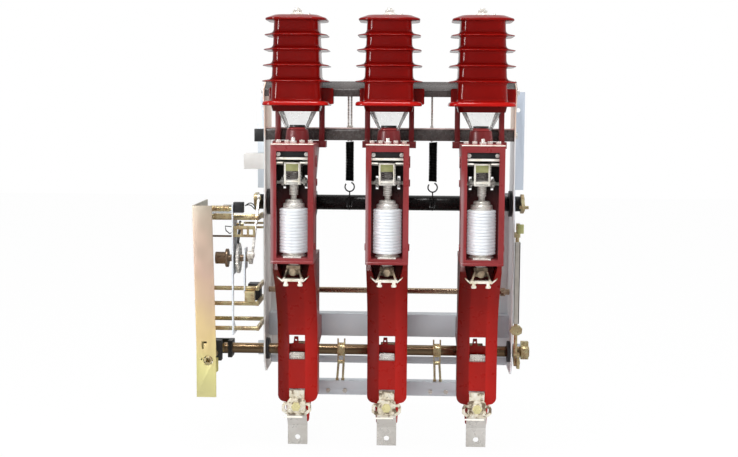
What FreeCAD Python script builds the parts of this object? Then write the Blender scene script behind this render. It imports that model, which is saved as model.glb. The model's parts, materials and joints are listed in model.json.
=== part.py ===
"""Indoor three-phase vacuum load-break switch disconnector with an earthing switch.

Millimetres. +X runs to the right along the row of phases, +Y to the rear mounting plane,
+Z up. The origin is the centre of the four rear mounting holes. The object is shown open:
contacts down, earthing blades away from their contacts.
"""
import FreeCAD, Part
import math
import os

os.makedirs("parts", exist_ok=True)
V = FreeCAD.Vector

# Layout of the phases and the frame
PITCH = 210.0
PHASES = (-PITCH, 0.0, PITCH)
PHASE_NAMES = ("left", "middle", "right")
PLATE_X = 297.0
PLATE_T = 4.0
PLATE_FRONT_LOW = -133.0
PLATE_FRONT_HIGH = -126.0
PLATE_TOP = 345.0
PLATE_BOTTOM = -335.0
ARM_TOP = 366.0
FLANGE_W = 30.0
FLANGE_IN_W = 36.0
FLANGE_T = 3.0
MOUNT_X = 311.0
MOUNT_Z = 298.0
MOUNT_HOLE_R = 5.5
SHEET_T = 3.0
GAP = 0.3
RUN = 0.05

# Beams of the frame
TOP_BEAM_FRONT = -142.0
TOP_BEAM_Z = 327.0
MID_BEAM_FRONT = -122.0
MID_BEAM_Z = 224.5
MID_BEAM_TOP = 254.0
LOW_BEAM_FRONT = -60.0
LOW_BEAM_Z = -255.0
LOW_BEAM_TOP = -200.0
BOTTOM_BEAM_Z = -402.0
BOTTOM_BEAM_TOP = -367.0
BOTTOM_BEAM_HALF = 262.0
BEAM_BACK = -22.0
STRIP_Z = -330.0
STRIP_H = 18.0
TIE_R = 7.0
TIE_Z = -141.5
TIE_Y = -60.0

# Upper bushing
BUSH_Y = -200.0
BUSH_BASE_Z = 305.0
BUSH_BASE_T = 10.0
BUSH_BASE_W = 150.0
BUSH_SOCKET_Z = 292.0
BUSH_SOCKET_W = 112.0
BUSH_TOP_Z = 495.5
BUSH_LOW_W = 113.0
BUSH_HIGH_W = 100.0
BUSH_CORNER_R = 20.0
BUSH_CAP_W = 138.0
BUSH_CAP_T = 13.0
BUSH_BORE_R = 38.0
SHED_Z = (358.4, 393.6, 428.8, 461.8)
SHED_LOW_W = 153.0
SHED_HIGH_W = 142.0
SHED_T = 2.2
SHED_ROOT = 5.5
CORNER_STEPS = 4
SHOULDER_W = 161.0
SHOULDER_Z = 309.0
SHOULDER_H = 37.0

# Cage round the interrupter
CAGE_W = 95.0
CAGE_FRONT = -326.0
CAGE_POST_W = 12.5
CAGE_POST_D = 10.0
CAGE_WALL = 6.0
CAGE_TOP_Z = 219.5
CAGE_TOP_T = 7.0
CAGE_HEADER_H = 14.5
CAGE_LOW_REAR = -240.0
CAGE_TAPER_Z = 140.0
CAGE_BOTTOM_Z = -44.0
CAGE_BOTTOM_T = 12.0
CAGE_BOTTOM_REAR = -150.0
EAR_W = 125.0
EAR_FRONT = -160.0
EAR_H = 23.0
LEG_OUT_W = 115.0
LEG_T = 12.0
LEG_FRONT = -142.0

# Guide cup and arc shield
CUP_BASE_R = 27.0
CUP_SHOULDER_R = 25.0
CUP_SHOULDER_Z = 250.0
CUP_MOUTH_R = 18.0
CUP_TOP_Z = 261.0
CUP_RIM = 3.0
SHIELD_TOP_R = 44.0
SHIELD_LOW_R = 23.0
SHIELD_T = 1.6
SHIELD_ANGLE = 74.0

# Isolating contact tube and crosshead
TUBE_R = 11.0
TUBE_BORE_R = 8.0
TUBE_TOP_Z = 256.0
TUBE_TAIL = 14.0
CROSS_PIN_R = 5.0
CROSS_PIN_HALF = 37.0
CROSS_BLOCK = 26.0

# Main shaft
SHAFT_Y = -83.0
SHAFT_Z = 75.0
SHAFT_R = 18.0
SHAFT_LEFT = -324.0
SHAFT_RIGHT = 322.0
HALF_SWING = 22.0
ARM_X = 33.0
ARM_T = 6.0
ARM_HUB_R = 27.0
ARM_TIP_W = 27.0
ARM_TIP = 20.0
SLOT_PLAY = 1.25

# Interrupter and its drive
VI_Y = -280.0
CERAMIC_R = 32.0
CERAMIC_ROOT_R = 29.6
CERAMIC_Z = -23.0
CERAMIC_TOP = 76.0
CERAMIC_RIBS = 14
VI_CAP_R = 24.5
VI_NECK_R = 19.0
VI_CAP_TOP = 88.0
VI_NECK_TOP = 96.3
STEM_R = 7.0
STEM_TRAVEL = 8.0
CARRIER_W = 36.0
CARRIER_FRONT = -304.0
CARRIER_BACK = -270.0
CARRIER_Z = 130.0
CARRIER_TOP = 180.0
CARRIER_T = 4.0
KNOB_R = 10.0
KNOB_Z = 100.0
DRIVE_PIN_HALF = 29.0
DRIVE_PIN_Y = -287.0
DRIVE_PIN_Z = 137.0
DRIVE_PIN_R = 4.5
BAR_Y = -258.0
BAR_HIGH_Z = 186.0
BAR_LOW_Z = 175.5
BAR_R = 4.0
ROCKER_Y = -252.0
ROCKER_PIN_R = 4.0
ROCKER_X = 22.5
ROCKER_T = 4.0
ROLLER_EXTRA = 2.5
BACK_WALL_Y = -245.5
BOSS_R = 8.0
BOSS_H = 2.5
TOP_PLATE_T = 2.0
ROCKER_TAIL_Y = -205.0
ROCKER_TAIL_Z = 126.0
ROLLER_R = 6.0

# Lower insulator
LOW_FRONT = -205.0
LOW_BACK = -135.0
LOW_HALF = 46.5
LOW_FLAT = 19.0
LOW_FACET = 17.0
LOW_WALL = 8.0
LOW_TOP_Z = -44.3
LOW_HEAD_Z = -62.0
LOW_WAIST_Z = -250.0
FLARE_STEPS = 4
LOW_HEAD_FRONT = -300.0
LOW_BOTTOM_Z = -387.0
LOW_CORNER_R = 14.0
MOUTH_TOP_HALF = 36.0
MOUTH_LOW_HALF = 27.0
MOUTH_Z = -92.0
WINDOW_HALF = 18.5
WINDOW_Z = -285.4
WINDOW_TOP = -226.3
SLIT_Z = -363.0
SLIT_TOP = -353.6
FOOT_T = 10.0
NECK_W = 58.0
NECK_D = 38.0
NECK_Y = -169.0
NECK_Z = -438.0
TAB_W = 35.0
CLAMP_Z = -391.0
PAD_BEND_Z = -446.0

# Lower terminal
PAD_W = 46.0
PAD_T = 6.0
PAD_Y = -190.0
PAD_Z = -491.0
PAD_HOLE_Z = -474.0
PAD_HOLE_R = 6.5

# Earthing switch
EARTH_Y = -110.0
EARTH_Z = -278.0
EARTH_R = 12.5
EARTH_LEFT = -394.6
EARTH_RIGHT = 338.0
BLADE_L = 88.0
BLADE_W = 16.0
BLADE_T = 4.0
TONGUE_T = 5.2
BLADE_REST = 45.0
YOKES = ((-112.0, -118.5), (118.0, 121.5))

# Interlock rod on the right
LINK_X = 309.0
LINK_R = 4.5
LINK_TOP = 12.0
LEVER_R = 32.0
LINK_JOG = 6.0
LEVER_PIN_R = 4.0

# Balance springs
SPRING_X = (-94.0, 103.0)
SPRING_Y = -110.0
SPRING_R = 10.0
SPRING_TOP = 222.0
SPRING_LOW = 127.0
HOOK_R = 11.0
HOOK_WIRE_R = 1.6
LUG_R = 28.0

# Mechanism on the left
PANEL_X = -436.0
PANEL_T = 3.0
PANEL_FRONT = -261.0
PANEL_BACK = -70.0
PANEL_Z = -364.0
PANEL_TOP = 78.0
PANEL_LEAN = 7.5
PANEL_BEND_Z = -240.0
LIP_W = 45.0
MID_PLATE_X = -357.0
MID_PLATE_Z = -223.0
MID_PLATE_TOP = 78.0
MID_PLATE_W = 14.0
NARROW_X = -331.0
HUB_Y = -200.0
HUB_Z = -48.0
HUB_SHAFT_R = 8.0
CRANK_R = 30.0
CRANK_PIN_R = 5.0
CRANK_X = -322.0
CRANK_T = 8.0
SOCKET_X = -409.0
BEVEL_R = 14.0
BEVEL_FACE = 7.0
LATCH_PIVOT = (-178.0, 28.0)
LATCH_LEAN = 15.0
LATCH_NOSE_R = 4.5
RATCHET_R = 36.0


def block(x0, x1, y0, y1, z0, z1):
    """A plain block between two corners."""
    return Part.makeBox(x1 - x0, y1 - y0, z1 - z0, V(x0, y0, z0))


def rod(axis, a, b, start, end, r):
    """A round bar along X, Y or Z. a and b are its place in the other two axes, in order."""
    if axis == "x":
        return Part.makeCylinder(r, end - start, V(start, a, b), V(1, 0, 0))
    if axis == "y":
        return Part.makeCylinder(r, end - start, V(a, start, b), V(0, 1, 0))
    return Part.makeCylinder(r, end - start, V(a, b, start), V(0, 0, 1))


def prism_x(points, x0, x1):
    """A side outline of (y, z) points, extruded along X."""
    wire = Part.makePolygon([V(x0, y, z) for y, z in points + points[:1]])
    return Part.Face(wire).extrude(V(x1 - x0, 0, 0))


def prism_y(points, y0, y1):
    """A front outline of (x, z) points, extruded along Y."""
    wire = Part.makePolygon([V(x, y0, z) for x, z in points + points[:1]])
    return Part.Face(wire).extrude(V(0, y1 - y0, 0))


def bent_sheet(points, t, x0, x1):
    """Folded sheet: an open run of (y, z) points thickened to its left and extruded along X."""
    inner = []
    for i, (y, z) in enumerate(points):
        normals = []
        if i > 0:
            normals.append(left_normal(points[i - 1], points[i]))
        if i < len(points) - 1:
            normals.append(left_normal(points[i], points[i + 1]))
        ny = sum(n[0] for n in normals)
        nz = sum(n[1] for n in normals)
        scale = t * len(normals) / (ny * ny + nz * nz)
        inner.append((y + ny * scale, z + nz * scale))
    return prism_x(points + inner[::-1], x0, x1)


def left_normal(p, q):
    """Unit normal on the left of the run from p to q."""
    dy = q[0] - p[0]
    dz = q[1] - p[1]
    length = math.hypot(dy, dz)
    return (-dz / length, dy / length)


def rounded_wire(x, y, z, w, d, r):
    """A rectangle with cut corners in the plane at height z, each corner in a few short flats."""
    points = []
    for k, (sx, sy) in enumerate(((1, 1), (-1, 1), (-1, -1), (1, -1))):
        for i in range(CORNER_STEPS + 1):
            a = math.pi / 2 * (k + i / CORNER_STEPS)
            points.append(V(x + sx * (w / 2 - r) + r * math.cos(a), y + sy * (d / 2 - r) + r * math.sin(a), z))
    return Part.makePolygon(points + points[:1])


def rounded_loft(x, y, low, high):
    """A tapered rounded block between two (z, width, depth, corner radius) sections."""
    wires = [rounded_wire(x, y, z, w, d, r) for z, w, d, r in (low, high)]
    return Part.makeLoft(wires, True, True)


def turned(points, x, y):
    """A body of revolution about the vertical line at x, y, from (radius, z) points."""
    wire = Part.makePolygon([V(x + r, y, z) for r, z in points + points[:1]])
    return Part.Face(wire).revolve(V(x, y, 0), V(0, 0, 1), 360)


def hexagon(axis, a, b, start, height, across):
    """A hexagonal head or nut along X, Y or Z, across its flats."""
    r = across / math.sqrt(3)
    pts = []
    for k in range(7):
        u = r * math.cos(math.radians(60 * k))
        v = r * math.sin(math.radians(60 * k))
        if axis == "x":
            pts.append(V(start, a + u, b + v))
        elif axis == "y":
            pts.append(V(a + u, start, b + v))
        else:
            pts.append(V(a + u, b + v, start))
    way = {"x": V(height, 0, 0), "y": V(0, height, 0), "z": V(0, 0, height)}[axis]
    return Part.Face(Part.makePolygon(pts)).extrude(way)


def fused(shapes):
    """One solid from several that touch."""
    return shapes[0].multiFuse(shapes[1:]).removeSplitter()


def turn_x(shape, y, z, degrees):
    """The shape turned about a line along X."""
    out = shape.copy()
    out.rotate(V(0, y, z), V(1, 0, 0), degrees)
    return out


def save(node, shapes):
    """Write one node: a single solid, or a group of separate solids."""
    solids = []
    for s in shapes:
        solids += s.Solids
    out = solids[0] if len(solids) == 1 else Part.makeCompound(solids)
    out.exportStep("parts/%s.step" % node)


# Frame

def side_plate(side):
    """A folded side plate: upper arm to the front, rear flanges with mounting holes."""
    outline = [(0, PLATE_BOTTOM), (0, PLATE_TOP), (-100, ARM_TOP), (-146, PLATE_TOP),
               (-146, 322), (PLATE_FRONT_HIGH, 290), (PLATE_FRONT_HIGH, 100),
               (PLATE_FRONT_LOW, 60), (PLATE_FRONT_LOW, PLATE_BOTTOM + 30),
               (PLATE_FRONT_LOW + 30, PLATE_BOTTOM)]
    inner = PLATE_X - PLATE_T
    plate = prism_x(outline, inner, PLATE_X)
    upper = block(inner, PLATE_X + FLANGE_W, -FLANGE_T, 0, 103, PLATE_TOP - 3)
    ear = block(inner, PLATE_X + FLANGE_W, -FLANGE_T, 0, -MOUNT_Z - 18, -MOUNT_Z + 18)
    lower = block(PLATE_X - FLANGE_IN_W, PLATE_X, -FLANGE_T, 0, PLATE_BOTTOM, 95)
    body = fused([plate, upper, ear, lower])
    cuts = [rod("y", MOUNT_X, z, -10, 5, MOUNT_HOLE_R) for z in (-MOUNT_Z, MOUNT_Z)]
    cuts.append(rod("x", SHAFT_Y, SHAFT_Z, inner - 5, PLATE_X + 5, SHAFT_R + 4))
    cuts.append(rod("x", EARTH_Y, EARTH_Z, inner - 5, PLATE_X + 5, EARTH_R + 4))
    slot_x = PLATE_X - 24
    cuts.append(block(slot_x - 3, slot_x + 3, -10, 5, -60, -14))
    body = body.cut(Part.makeCompound(cuts))
    if side < 0:
        body = body.mirror(V(0, 0, 0), V(1, 0, 0))
    return body


def make_frame():
    """Side plates, the four cross beams, the rear strip and the tie rod."""
    save("side_plate_left", [side_plate(-1)])
    save("side_plate_right", [side_plate(1)])
    half = PLATE_X - PLATE_T - GAP
    y = TOP_BEAM_FRONT
    z = TOP_BEAM_Z
    run = [(y + 14, z), (y, z), (y, z + 16), (y + 37, z + 36), (y + 72, z + 36), (y + 72, z + 22)]
    save("top_beam", [bent_sheet(run[::-1], SHEET_T, -half, half)])
    y = MID_BEAM_FRONT
    run = [(y + 10, MID_BEAM_Z), (y, MID_BEAM_Z), (y, MID_BEAM_TOP - 7), (y + 7, MID_BEAM_TOP),
           (y + 50, MID_BEAM_TOP), (y + 50, MID_BEAM_TOP - 14)]
    beam = bent_sheet(run[::-1], SHEET_T, -half, half)
    holes = [rod("z", x + s, SPRING_Y, 200, 300, 2.8) for x in SPRING_X for s in (-3.5, 3.5)]
    save("middle_beam", [beam.cut(Part.makeCompound(holes))])
    y = LOW_BEAM_FRONT
    run = [(BEAM_BACK, LOW_BEAM_Z), (y, LOW_BEAM_Z), (y, LOW_BEAM_TOP), (BEAM_BACK, LOW_BEAM_TOP)]
    save("lower_beam", [bent_sheet(run[::-1], SHEET_T, -half, half)])
    run = [(y + 30, BOTTOM_BEAM_Z), (y, BOTTOM_BEAM_Z), (y, BOTTOM_BEAM_TOP), (y + 30, BOTTOM_BEAM_TOP)]
    beam = bent_sheet(run[::-1], SHEET_T, -BOTTOM_BEAM_HALF, BOTTOM_BEAM_HALF)
    strip = block(-half, half, BEAM_BACK, BEAM_BACK + 4, STRIP_Z, STRIP_Z + STRIP_H)
    save("bottom_beam", [beam, strip])
    nut = hexagon("x", TIE_Y, TIE_Z, half - 21, 11, 19)
    save("tie_rod", [fused([rod("x", TIE_Y, TIE_Z, -half, half, TIE_R), nut])])


# Upper bushing and its contact

def bush_width(z):
    """Width of the tapered bushing body at a height."""
    low = BUSH_BASE_Z + BUSH_BASE_T
    share = (z - low) / (BUSH_TOP_Z - low)
    return BUSH_LOW_W + (BUSH_HIGH_W - BUSH_LOW_W) * share


def bushing(x):
    """The hollow tapered insulator with four sheds, a cap, a base and a rear shoulder."""
    low = BUSH_BASE_Z + BUSH_BASE_T
    r = BUSH_CORNER_R
    y = BUSH_Y
    parts = [rounded_loft(x, y, (low, BUSH_LOW_W, BUSH_LOW_W, r),
                          (BUSH_TOP_Z, BUSH_HIGH_W, BUSH_HIGH_W, r))]
    cap_w = BUSH_CAP_W
    parts.append(rounded_loft(x, y, (BUSH_TOP_Z, cap_w, cap_w, r + 14),
                              (BUSH_TOP_Z + 5, cap_w, cap_w, r + 14)))
    parts.append(rounded_loft(x, y, (BUSH_TOP_Z + 5, cap_w - 4, cap_w - 4, r + 12),
                              (BUSH_TOP_Z + BUSH_CAP_T, cap_w - 40, cap_w - 40, r)))
    for i, z in enumerate(SHED_Z):
        w = SHED_LOW_W + (SHED_HIGH_W - SHED_LOW_W) * i / (len(SHED_Z) - 1)
        inner = w - 24
        parts.append(rounded_loft(x, y, (z, w, w, r + 16), (z + SHED_T, w, w, r + 16)))
        parts.append(rounded_loft(x, y, (z + SHED_T, w, w, r + 16), (z + SHED_ROOT, inner, inner, r + 6)))
    parts.append(rounded_loft(x, y, (BUSH_BASE_Z, BUSH_BASE_W, BUSH_BASE_W, r + 6),
                              (low, BUSH_BASE_W - 3, BUSH_BASE_W - 3, r + 6)))
    parts.append(rounded_loft(x, y, (BUSH_SOCKET_Z, BUSH_SOCKET_W - 6, BUSH_SOCKET_W - 6, r),
                              (BUSH_BASE_Z, BUSH_SOCKET_W, BUSH_SOCKET_W, r)))
    back = TOP_BEAM_FRONT - GAP
    parts.append(block(x - SHOULDER_W / 2, x + SHOULDER_W / 2, y + 20, back,
                       SHOULDER_Z, SHOULDER_Z + SHOULDER_H))
    body = fused(parts)
    bore = rod("z", x, y, BUSH_SOCKET_Z - 5, BUSH_TOP_Z - 20, BUSH_BORE_R)
    stud = rod("z", x, y, BUSH_TOP_Z - 30, BUSH_TOP_Z + 30, 12.0)
    post = rod("z", x + 27, y, BUSH_TOP_Z + BUSH_CAP_T - 1, BUSH_TOP_Z + 30, 2.5)
    return body.cut(bore).cut(stud).cut(post)


def upper_contact(x):
    """Top stud with its domed washer and nut, the conductor and the slotted tulip contact."""
    y = BUSH_Y
    top = BUSH_TOP_Z + BUSH_CAP_T
    grip = TUBE_R + GAP + RUN
    points = [(0, 372), (grip, 372), (grip, 336), (grip + 5, 333), (grip + 6, 372),
              (14, 384), (12, 392), (12, top), (18, top), (17, top + 3), (9, top + 8),
              (6, top + 9), (6, top + 17.5), (0, top + 17.5)]
    body = turned(points, x, y)
    for k in range(4):
        slit = block(x - 20, x + 20, y - 0.8, y + 0.8, 325, 366)
        slit.rotate(V(x, y, 0), V(0, 0, 1), 45 * k)
        body = body.cut(slit)
    post = rod("z", x + 27, y, top - 1, top + 6, 2.5)
    return [fused([body, hexagon("z", x, y, top + 8, 5, 18)]), post]


# Cage, guide cup and arc shield

def cage_panel_outline():
    """Side outline of a cage panel: deep at the top, tapering to the interrupter's depth."""
    return [(CAGE_FRONT, CAGE_BOTTOM_Z), (CAGE_LOW_REAR, CAGE_BOTTOM_Z),
            (CAGE_LOW_REAR, CAGE_TAPER_Z), (EAR_FRONT + 5, CAGE_TOP_Z - CAGE_TOP_T),
            (CAGE_FRONT, CAGE_TOP_Z - CAGE_TOP_T)]


def cage_places():
    """Places of the cross bars and the rockers' pivot pin in the side panels, as (y, z, radius)."""
    pivot_z = DRIVE_PIN_Z - STEM_TRAVEL / 2
    return [(BAR_Y, BAR_HIGH_Z, BAR_R), (BAR_Y, BAR_LOW_Z, BAR_R), (ROCKER_Y, pivot_z, ROCKER_PIN_R)]


def cage(x):
    """Moulded cage with front posts, tapered side panels, back wall, top plate, ears and legs."""
    half = CAGE_W / 2
    front = CAGE_FRONT
    top = CAGE_TOP_Z
    inner = half - CAGE_WALL
    parts = [block(x - half, x + half, front, EAR_FRONT + 4, top - CAGE_TOP_T, top)]
    parts.append(block(x - half, x + half, front, front + CAGE_POST_D, top - CAGE_HEADER_H, top))
    parts.append(block(x - half, x + half, front, CAGE_BOTTOM_REAR, CAGE_BOTTOM_Z,
                       CAGE_BOTTOM_Z + CAGE_BOTTOM_T))
    parts.append(block(x - inner, x + inner, BACK_WALL_Y, CAGE_LOW_REAR, CAGE_BOTTOM_Z, top))
    for s in (-1, 1):
        wall = sorted((x + s * half, x + s * inner))
        parts.append(prism_x(cage_panel_outline(), wall[0], wall[1]))
        post = sorted((x + s * half, x + s * (half - CAGE_POST_W)))
        parts.append(block(post[0], post[1], front, front + CAGE_POST_D, CAGE_BOTTOM_Z, top))
        leg = sorted((x + s * LEG_OUT_W / 2, x + s * (LEG_OUT_W / 2 - LEG_T)))
        parts.append(block(leg[0], leg[1], LEG_FRONT, MID_BEAM_FRONT - GAP, top - 5, BUSH_BASE_Z))
        gusset = [(LEG_FRONT - 16, top), (LEG_FRONT, top), (LEG_FRONT, top + 30)]
        parts.append(prism_x(gusset, leg[0], leg[1]))
        boss = sorted((x + s * (half - 1), x + s * (half + BOSS_H)))
        for y, z, r in cage_places() + [(-295, -8, BAR_R)]:
            parts.append(rod("x", y, z, boss[0], boss[1], BOSS_R))
    parts.append(block(x - EAR_W / 2, x + EAR_W / 2, EAR_FRONT, MID_BEAM_FRONT - GAP,
                       top - 11, top - 11 + 15))
    lip = [(front - 3, CAGE_BOTTOM_Z), (front, CAGE_BOTTOM_Z), (front, CAGE_BOTTOM_Z + 6),
           (front - 3, CAGE_BOTTOM_Z + 4)]
    parts.append(prism_x(lip, x - half + 1, x + half - 1))
    body = fused(parts)
    cuts = [rod("z", x, BUSH_Y, top - 30, top + 30, TUBE_R + 2)]
    cuts.append(rod("z", x, VI_Y, CAGE_BOTTOM_Z - 5, CAGE_BOTTOM_Z + 20, 12.2))
    for y, z, r in cage_places():
        cuts.append(rod("x", y, z, x - inner - 3.2, x + inner + 3.2, r + RUN))
    for s in (-1, 1):
        slot = sorted((x + s * (ROCKER_X - 1), x + s * (ROCKER_X + ROCKER_T + 1)))
        cuts.append(block(slot[0], slot[1], BACK_WALL_Y - 2, CAGE_LOW_REAR + 2,
                          ROCKER_TAIL_Z - 8, ROCKER_TAIL_Z + 22))
    return body.cut(Part.makeCompound(cuts))


def cup(x):
    """Guide cup on the cage's top plate, with a bore that guides the contact tube."""
    bore = TUBE_R + RUN
    points = [(bore, CAGE_TOP_Z), (CUP_BASE_R + 3, CAGE_TOP_Z), (CUP_BASE_R + 3, CAGE_TOP_Z + 3),
              (CUP_BASE_R, CAGE_TOP_Z + 5), (CUP_SHOULDER_R, CUP_SHOULDER_Z),
              (CUP_MOUTH_R, CUP_SHOULDER_Z + 1), (CUP_MOUTH_R, CUP_TOP_Z),
              (CUP_MOUTH_R - CUP_RIM, CUP_TOP_Z), (CUP_MOUTH_R - CUP_RIM, CAGE_TOP_Z + 18),
              (bore, CAGE_TOP_Z + 16)]
    return turned(points, x, BUSH_Y)


def shield(x):
    """Two side wings of a thin funnel between the cup and the bushing."""
    low = CUP_SHOULDER_Z + 1
    height = BUSH_SOCKET_Z - GAP - low
    axis = V(0, 0, 1)
    base = V(x, BUSH_Y, low)
    wings = []
    for start in (0, 180):
        outer = Part.makeCone(SHIELD_LOW_R, SHIELD_TOP_R, height, base, axis, SHIELD_ANGLE)
        inner = Part.makeCone(SHIELD_LOW_R - SHIELD_T, SHIELD_TOP_R - SHIELD_T, height, base, axis)
        wing = outer.cut(inner)
        wing.rotate(base, axis, start - SHIELD_ANGLE / 2)
        wings.append(wing)
    return wings


# Moving contact tube, main shaft and levers

def pin_rest_z():
    """Height of the crosshead pin with the arms turned down by half their swing."""
    return SHAFT_Z - (SHAFT_Y - BUSH_Y) * math.tan(math.radians(HALF_SWING))


def tube(x):
    """Isolating contact tube with a rounded tip, its crosshead block and drive pin."""
    z = pin_rest_z()
    y = BUSH_Y
    tip = TUBE_TOP_Z
    points = [(TUBE_BORE_R, z - TUBE_TAIL), (TUBE_R, z - TUBE_TAIL), (TUBE_R, tip - 6),
              (TUBE_R - 2, tip - 2), (TUBE_R - 5, tip), (0, tip), (0, tip - 12),
              (TUBE_BORE_R, tip - 16)]
    body = turned(points, x, y)
    half = CROSS_BLOCK / 2
    head = block(x - half, x + half, y - half, y + half, z - 11, z + 11)
    head = head.makeFillet(3, [e for e in head.Edges if abs(e.tangentAt(0).z) > 0.9])
    pin = rod("x", y, z, x - CROSS_PIN_HALF, x + CROSS_PIN_HALF, CROSS_PIN_R)
    return fused([body, head, pin])


def lever_arm(x):
    """A red forked lever on the main shaft, at its rest angle."""
    half = ARM_T / 2
    r = ARM_HUB_R
    w = ARM_TIP_W / 2
    y = SHAFT_Y
    z = SHAFT_Z
    reach = SHAFT_Y - BUSH_Y + ARM_TIP
    hub = rod("x", y, z, x - half, x + half, r)
    outline = [(y, z - r), (y, z + r), (y - reach + 8, z + w), (y - reach, z + w - 5),
               (y - reach, z - w + 5), (y - reach + 8, z - w)]
    arm = fused([hub, prism_x(outline, x - half, x + half)])
    play = CROSS_PIN_R + SLOT_PLAY
    centre = BUSH_Y + 6
    slot = block(x - 10, x + 10, y - reach - 5, centre, z - play, z + play)
    end = rod("x", centre, z, x - 10, x + 10, play)
    bore = rod("x", y, z, x - 10, x + 10, SHAFT_R)
    return turn_x(arm.cut(slot).cut(end).cut(bore), y, z, HALF_SWING)


def spring_lug(x):
    """Two small cheeks and a pin on the main shaft that hold a balance spring's rod."""
    y = SHAFT_Y
    z = SHAFT_Z
    parts = []
    for s in (-1, 1):
        x0 = x + s * 5.5 - 1.5
        outline = [(y - SHAFT_R + 3, z - 10), (y - SHAFT_R + 3, z + 10), (y - LUG_R - 4, z + 3.5),
                   (y - LUG_R - 4, z - 3.5)]
        cheek = prism_x(outline, x0, x0 + 3).cut(rod("x", y, z, x0 - 1, x0 + 4, SHAFT_R))
        parts.append(cheek)
    parts.append(rod("x", y - LUG_R, z, x - 7, x + 7, 2.0))
    return turn_x(fused(parts), y, z, HALF_SWING)


def crank(x, y, z, pin_to):
    """Mechanism crank with its pin, along the direction that keeps the link clear."""
    tip = crank_tip(y, z)
    plate = eye_link((y, z), tip, 22.0 if pin_to == "shaft" else 14.0, 9.0, x, x + CRANK_T)
    pin = rod("x", tip[0], tip[1], x + CRANK_T - 1, x + CRANK_T + 8, CRANK_PIN_R)
    return fused([plate, pin])


def crank_tip(y, z):
    """Place of a crank's pin: square to the line between the shafts, less half the swing."""
    line = math.atan2(SHAFT_Z - HUB_Z, SHAFT_Y - HUB_Y)
    angle = line + math.pi / 2 + math.radians(HALF_SWING)
    return (y + CRANK_R * math.cos(angle), z + CRANK_R * math.sin(angle))


def eye_link(p, q, rp, rq, x0, x1):
    """A flat link between two round ends, tangent to both, extruded along X."""
    dy = q[0] - p[0]
    dz = q[1] - p[1]
    length = math.hypot(dy, dz)
    base = math.atan2(dz, dy)
    spread = math.acos((rp - rq) / length)
    pts = []
    for centre, r, sign in ((p, rp, 1), (q, rq, 1), (q, rq, -1), (p, rp, -1)):
        a = base + sign * spread
        pts.append((centre[0] + r * math.cos(a), centre[1] + r * math.sin(a)))
    web = prism_x(pts, x0, x1)
    return fused([web, rod("x", p[0], p[1], x0, x1, rp), rod("x", q[0], q[1], x0, x1, rq)])


def make_main_shaft():
    """Shaft tube, six forked arms, spring lugs, left crank and right end lever."""
    y = SHAFT_Y
    z = SHAFT_Z
    body = rod("x", y, z, SHAFT_LEFT, SHAFT_RIGHT, SHAFT_R)
    lugs = [spring_lug(x) for x in SPRING_X]
    save("main_shaft", [fused([body] + lugs)])
    arms = [lever_arm(x + s * ARM_X) for x in PHASES for s in (-1, 1)]
    save("lever_arms", arms)
    left = crank(CRANK_X, y, z, "shaft").cut(rod("x", y, z, -400, 0, SHAFT_R))
    right = eye_link((y, z), (y - 34, z - 6), 23.0, 8.0, SHAFT_RIGHT - 9, SHAFT_RIGHT - 1)
    right = right.cut(rod("x", y, z, 0, 400, SHAFT_R))
    pin = rod("x", y - 34, z - 6, SHAFT_RIGHT - 13, SHAFT_RIGHT + 8, 4.0)
    save("shaft_cranks", [left, fused([right, pin])])
    bearings = []
    for s in (-1, 1):
        inner = s * (PLATE_X - PLATE_T)
        for cy, cz, r in ((SHAFT_Y, SHAFT_Z, SHAFT_R), (EARTH_Y, EARTH_Z, EARTH_R)):
            flange = sorted((inner, inner - s * 8))
            ring = rod("x", cy, cz, flange[0], flange[1], r + 13)
            span = sorted((inner, s * PLATE_X))
            ring = fused([ring, rod("x", cy, cz, span[0], span[1], r + 4 - RUN)])
            bearings.append(ring.cut(rod("x", cy, cz, -400, 400, r + RUN)))
    save("shaft_bearings", bearings)


def make_springs():
    """Hanger rods, the two balance springs and the hooks with their thin rods."""
    hangers = []
    springs = []
    hooks = []
    for i, x in enumerate(SPRING_X):
        offsets = (-3.5, 3.5) if i == 0 else (-3.5,)
        top = TOP_BEAM_Z + 20
        for s in offsets:
            hangers.append(rod("z", x + s, SPRING_Y, SPRING_TOP, top, 2.2))
            nut = hexagon("z", x + s, SPRING_Y, MID_BEAM_TOP, 5, 6.5)
            hangers[-1] = fused([hangers[-1], nut])
        springs.append(rod("z", x, SPRING_Y, SPRING_LOW, SPRING_TOP, SPRING_R))
        centre = SPRING_LOW - GAP - HOOK_R - HOOK_WIRE_R
        ring = Part.makeTorus(HOOK_R, HOOK_WIRE_R, V(x, SPRING_Y, centre), V(0, 1, 0), -180, 180, 290)
        ring.rotate(V(x, SPRING_Y, centre), V(0, 1, 0), 20)
        low = SHAFT_Z - LUG_R * math.sin(math.radians(HALF_SWING))
        wire = rod("z", x, SPRING_Y, low + 5, centre - HOOK_R, 1.5)
        eye = rod("x", SPRING_Y, low, x - 1.5, x + 1.5, 5.8)
        eye = eye.cut(rod("x", SPRING_Y, low, x - 5, x + 5, 3.6))
        hooks.append(fused([ring, wire, eye]))
    save("spring_hangers", hangers)
    save("balance_springs", springs)
    save("spring_hooks", hooks)


# Interrupter and its drive

def ceramic(x):
    """Ribbed ceramic body of the interrupter."""
    pitch = (CERAMIC_TOP - CERAMIC_Z) / CERAMIC_RIBS
    points = [(20.0, CERAMIC_Z), (CERAMIC_ROOT_R, CERAMIC_Z)]
    for i in range(CERAMIC_RIBS):
        z = CERAMIC_Z + pitch * i
        points.append((CERAMIC_R, z + pitch * 0.5))
        points.append((CERAMIC_ROOT_R, z + pitch))
    points.append((20.0, CERAMIC_TOP))
    return turned(points, x, VI_Y)


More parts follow.
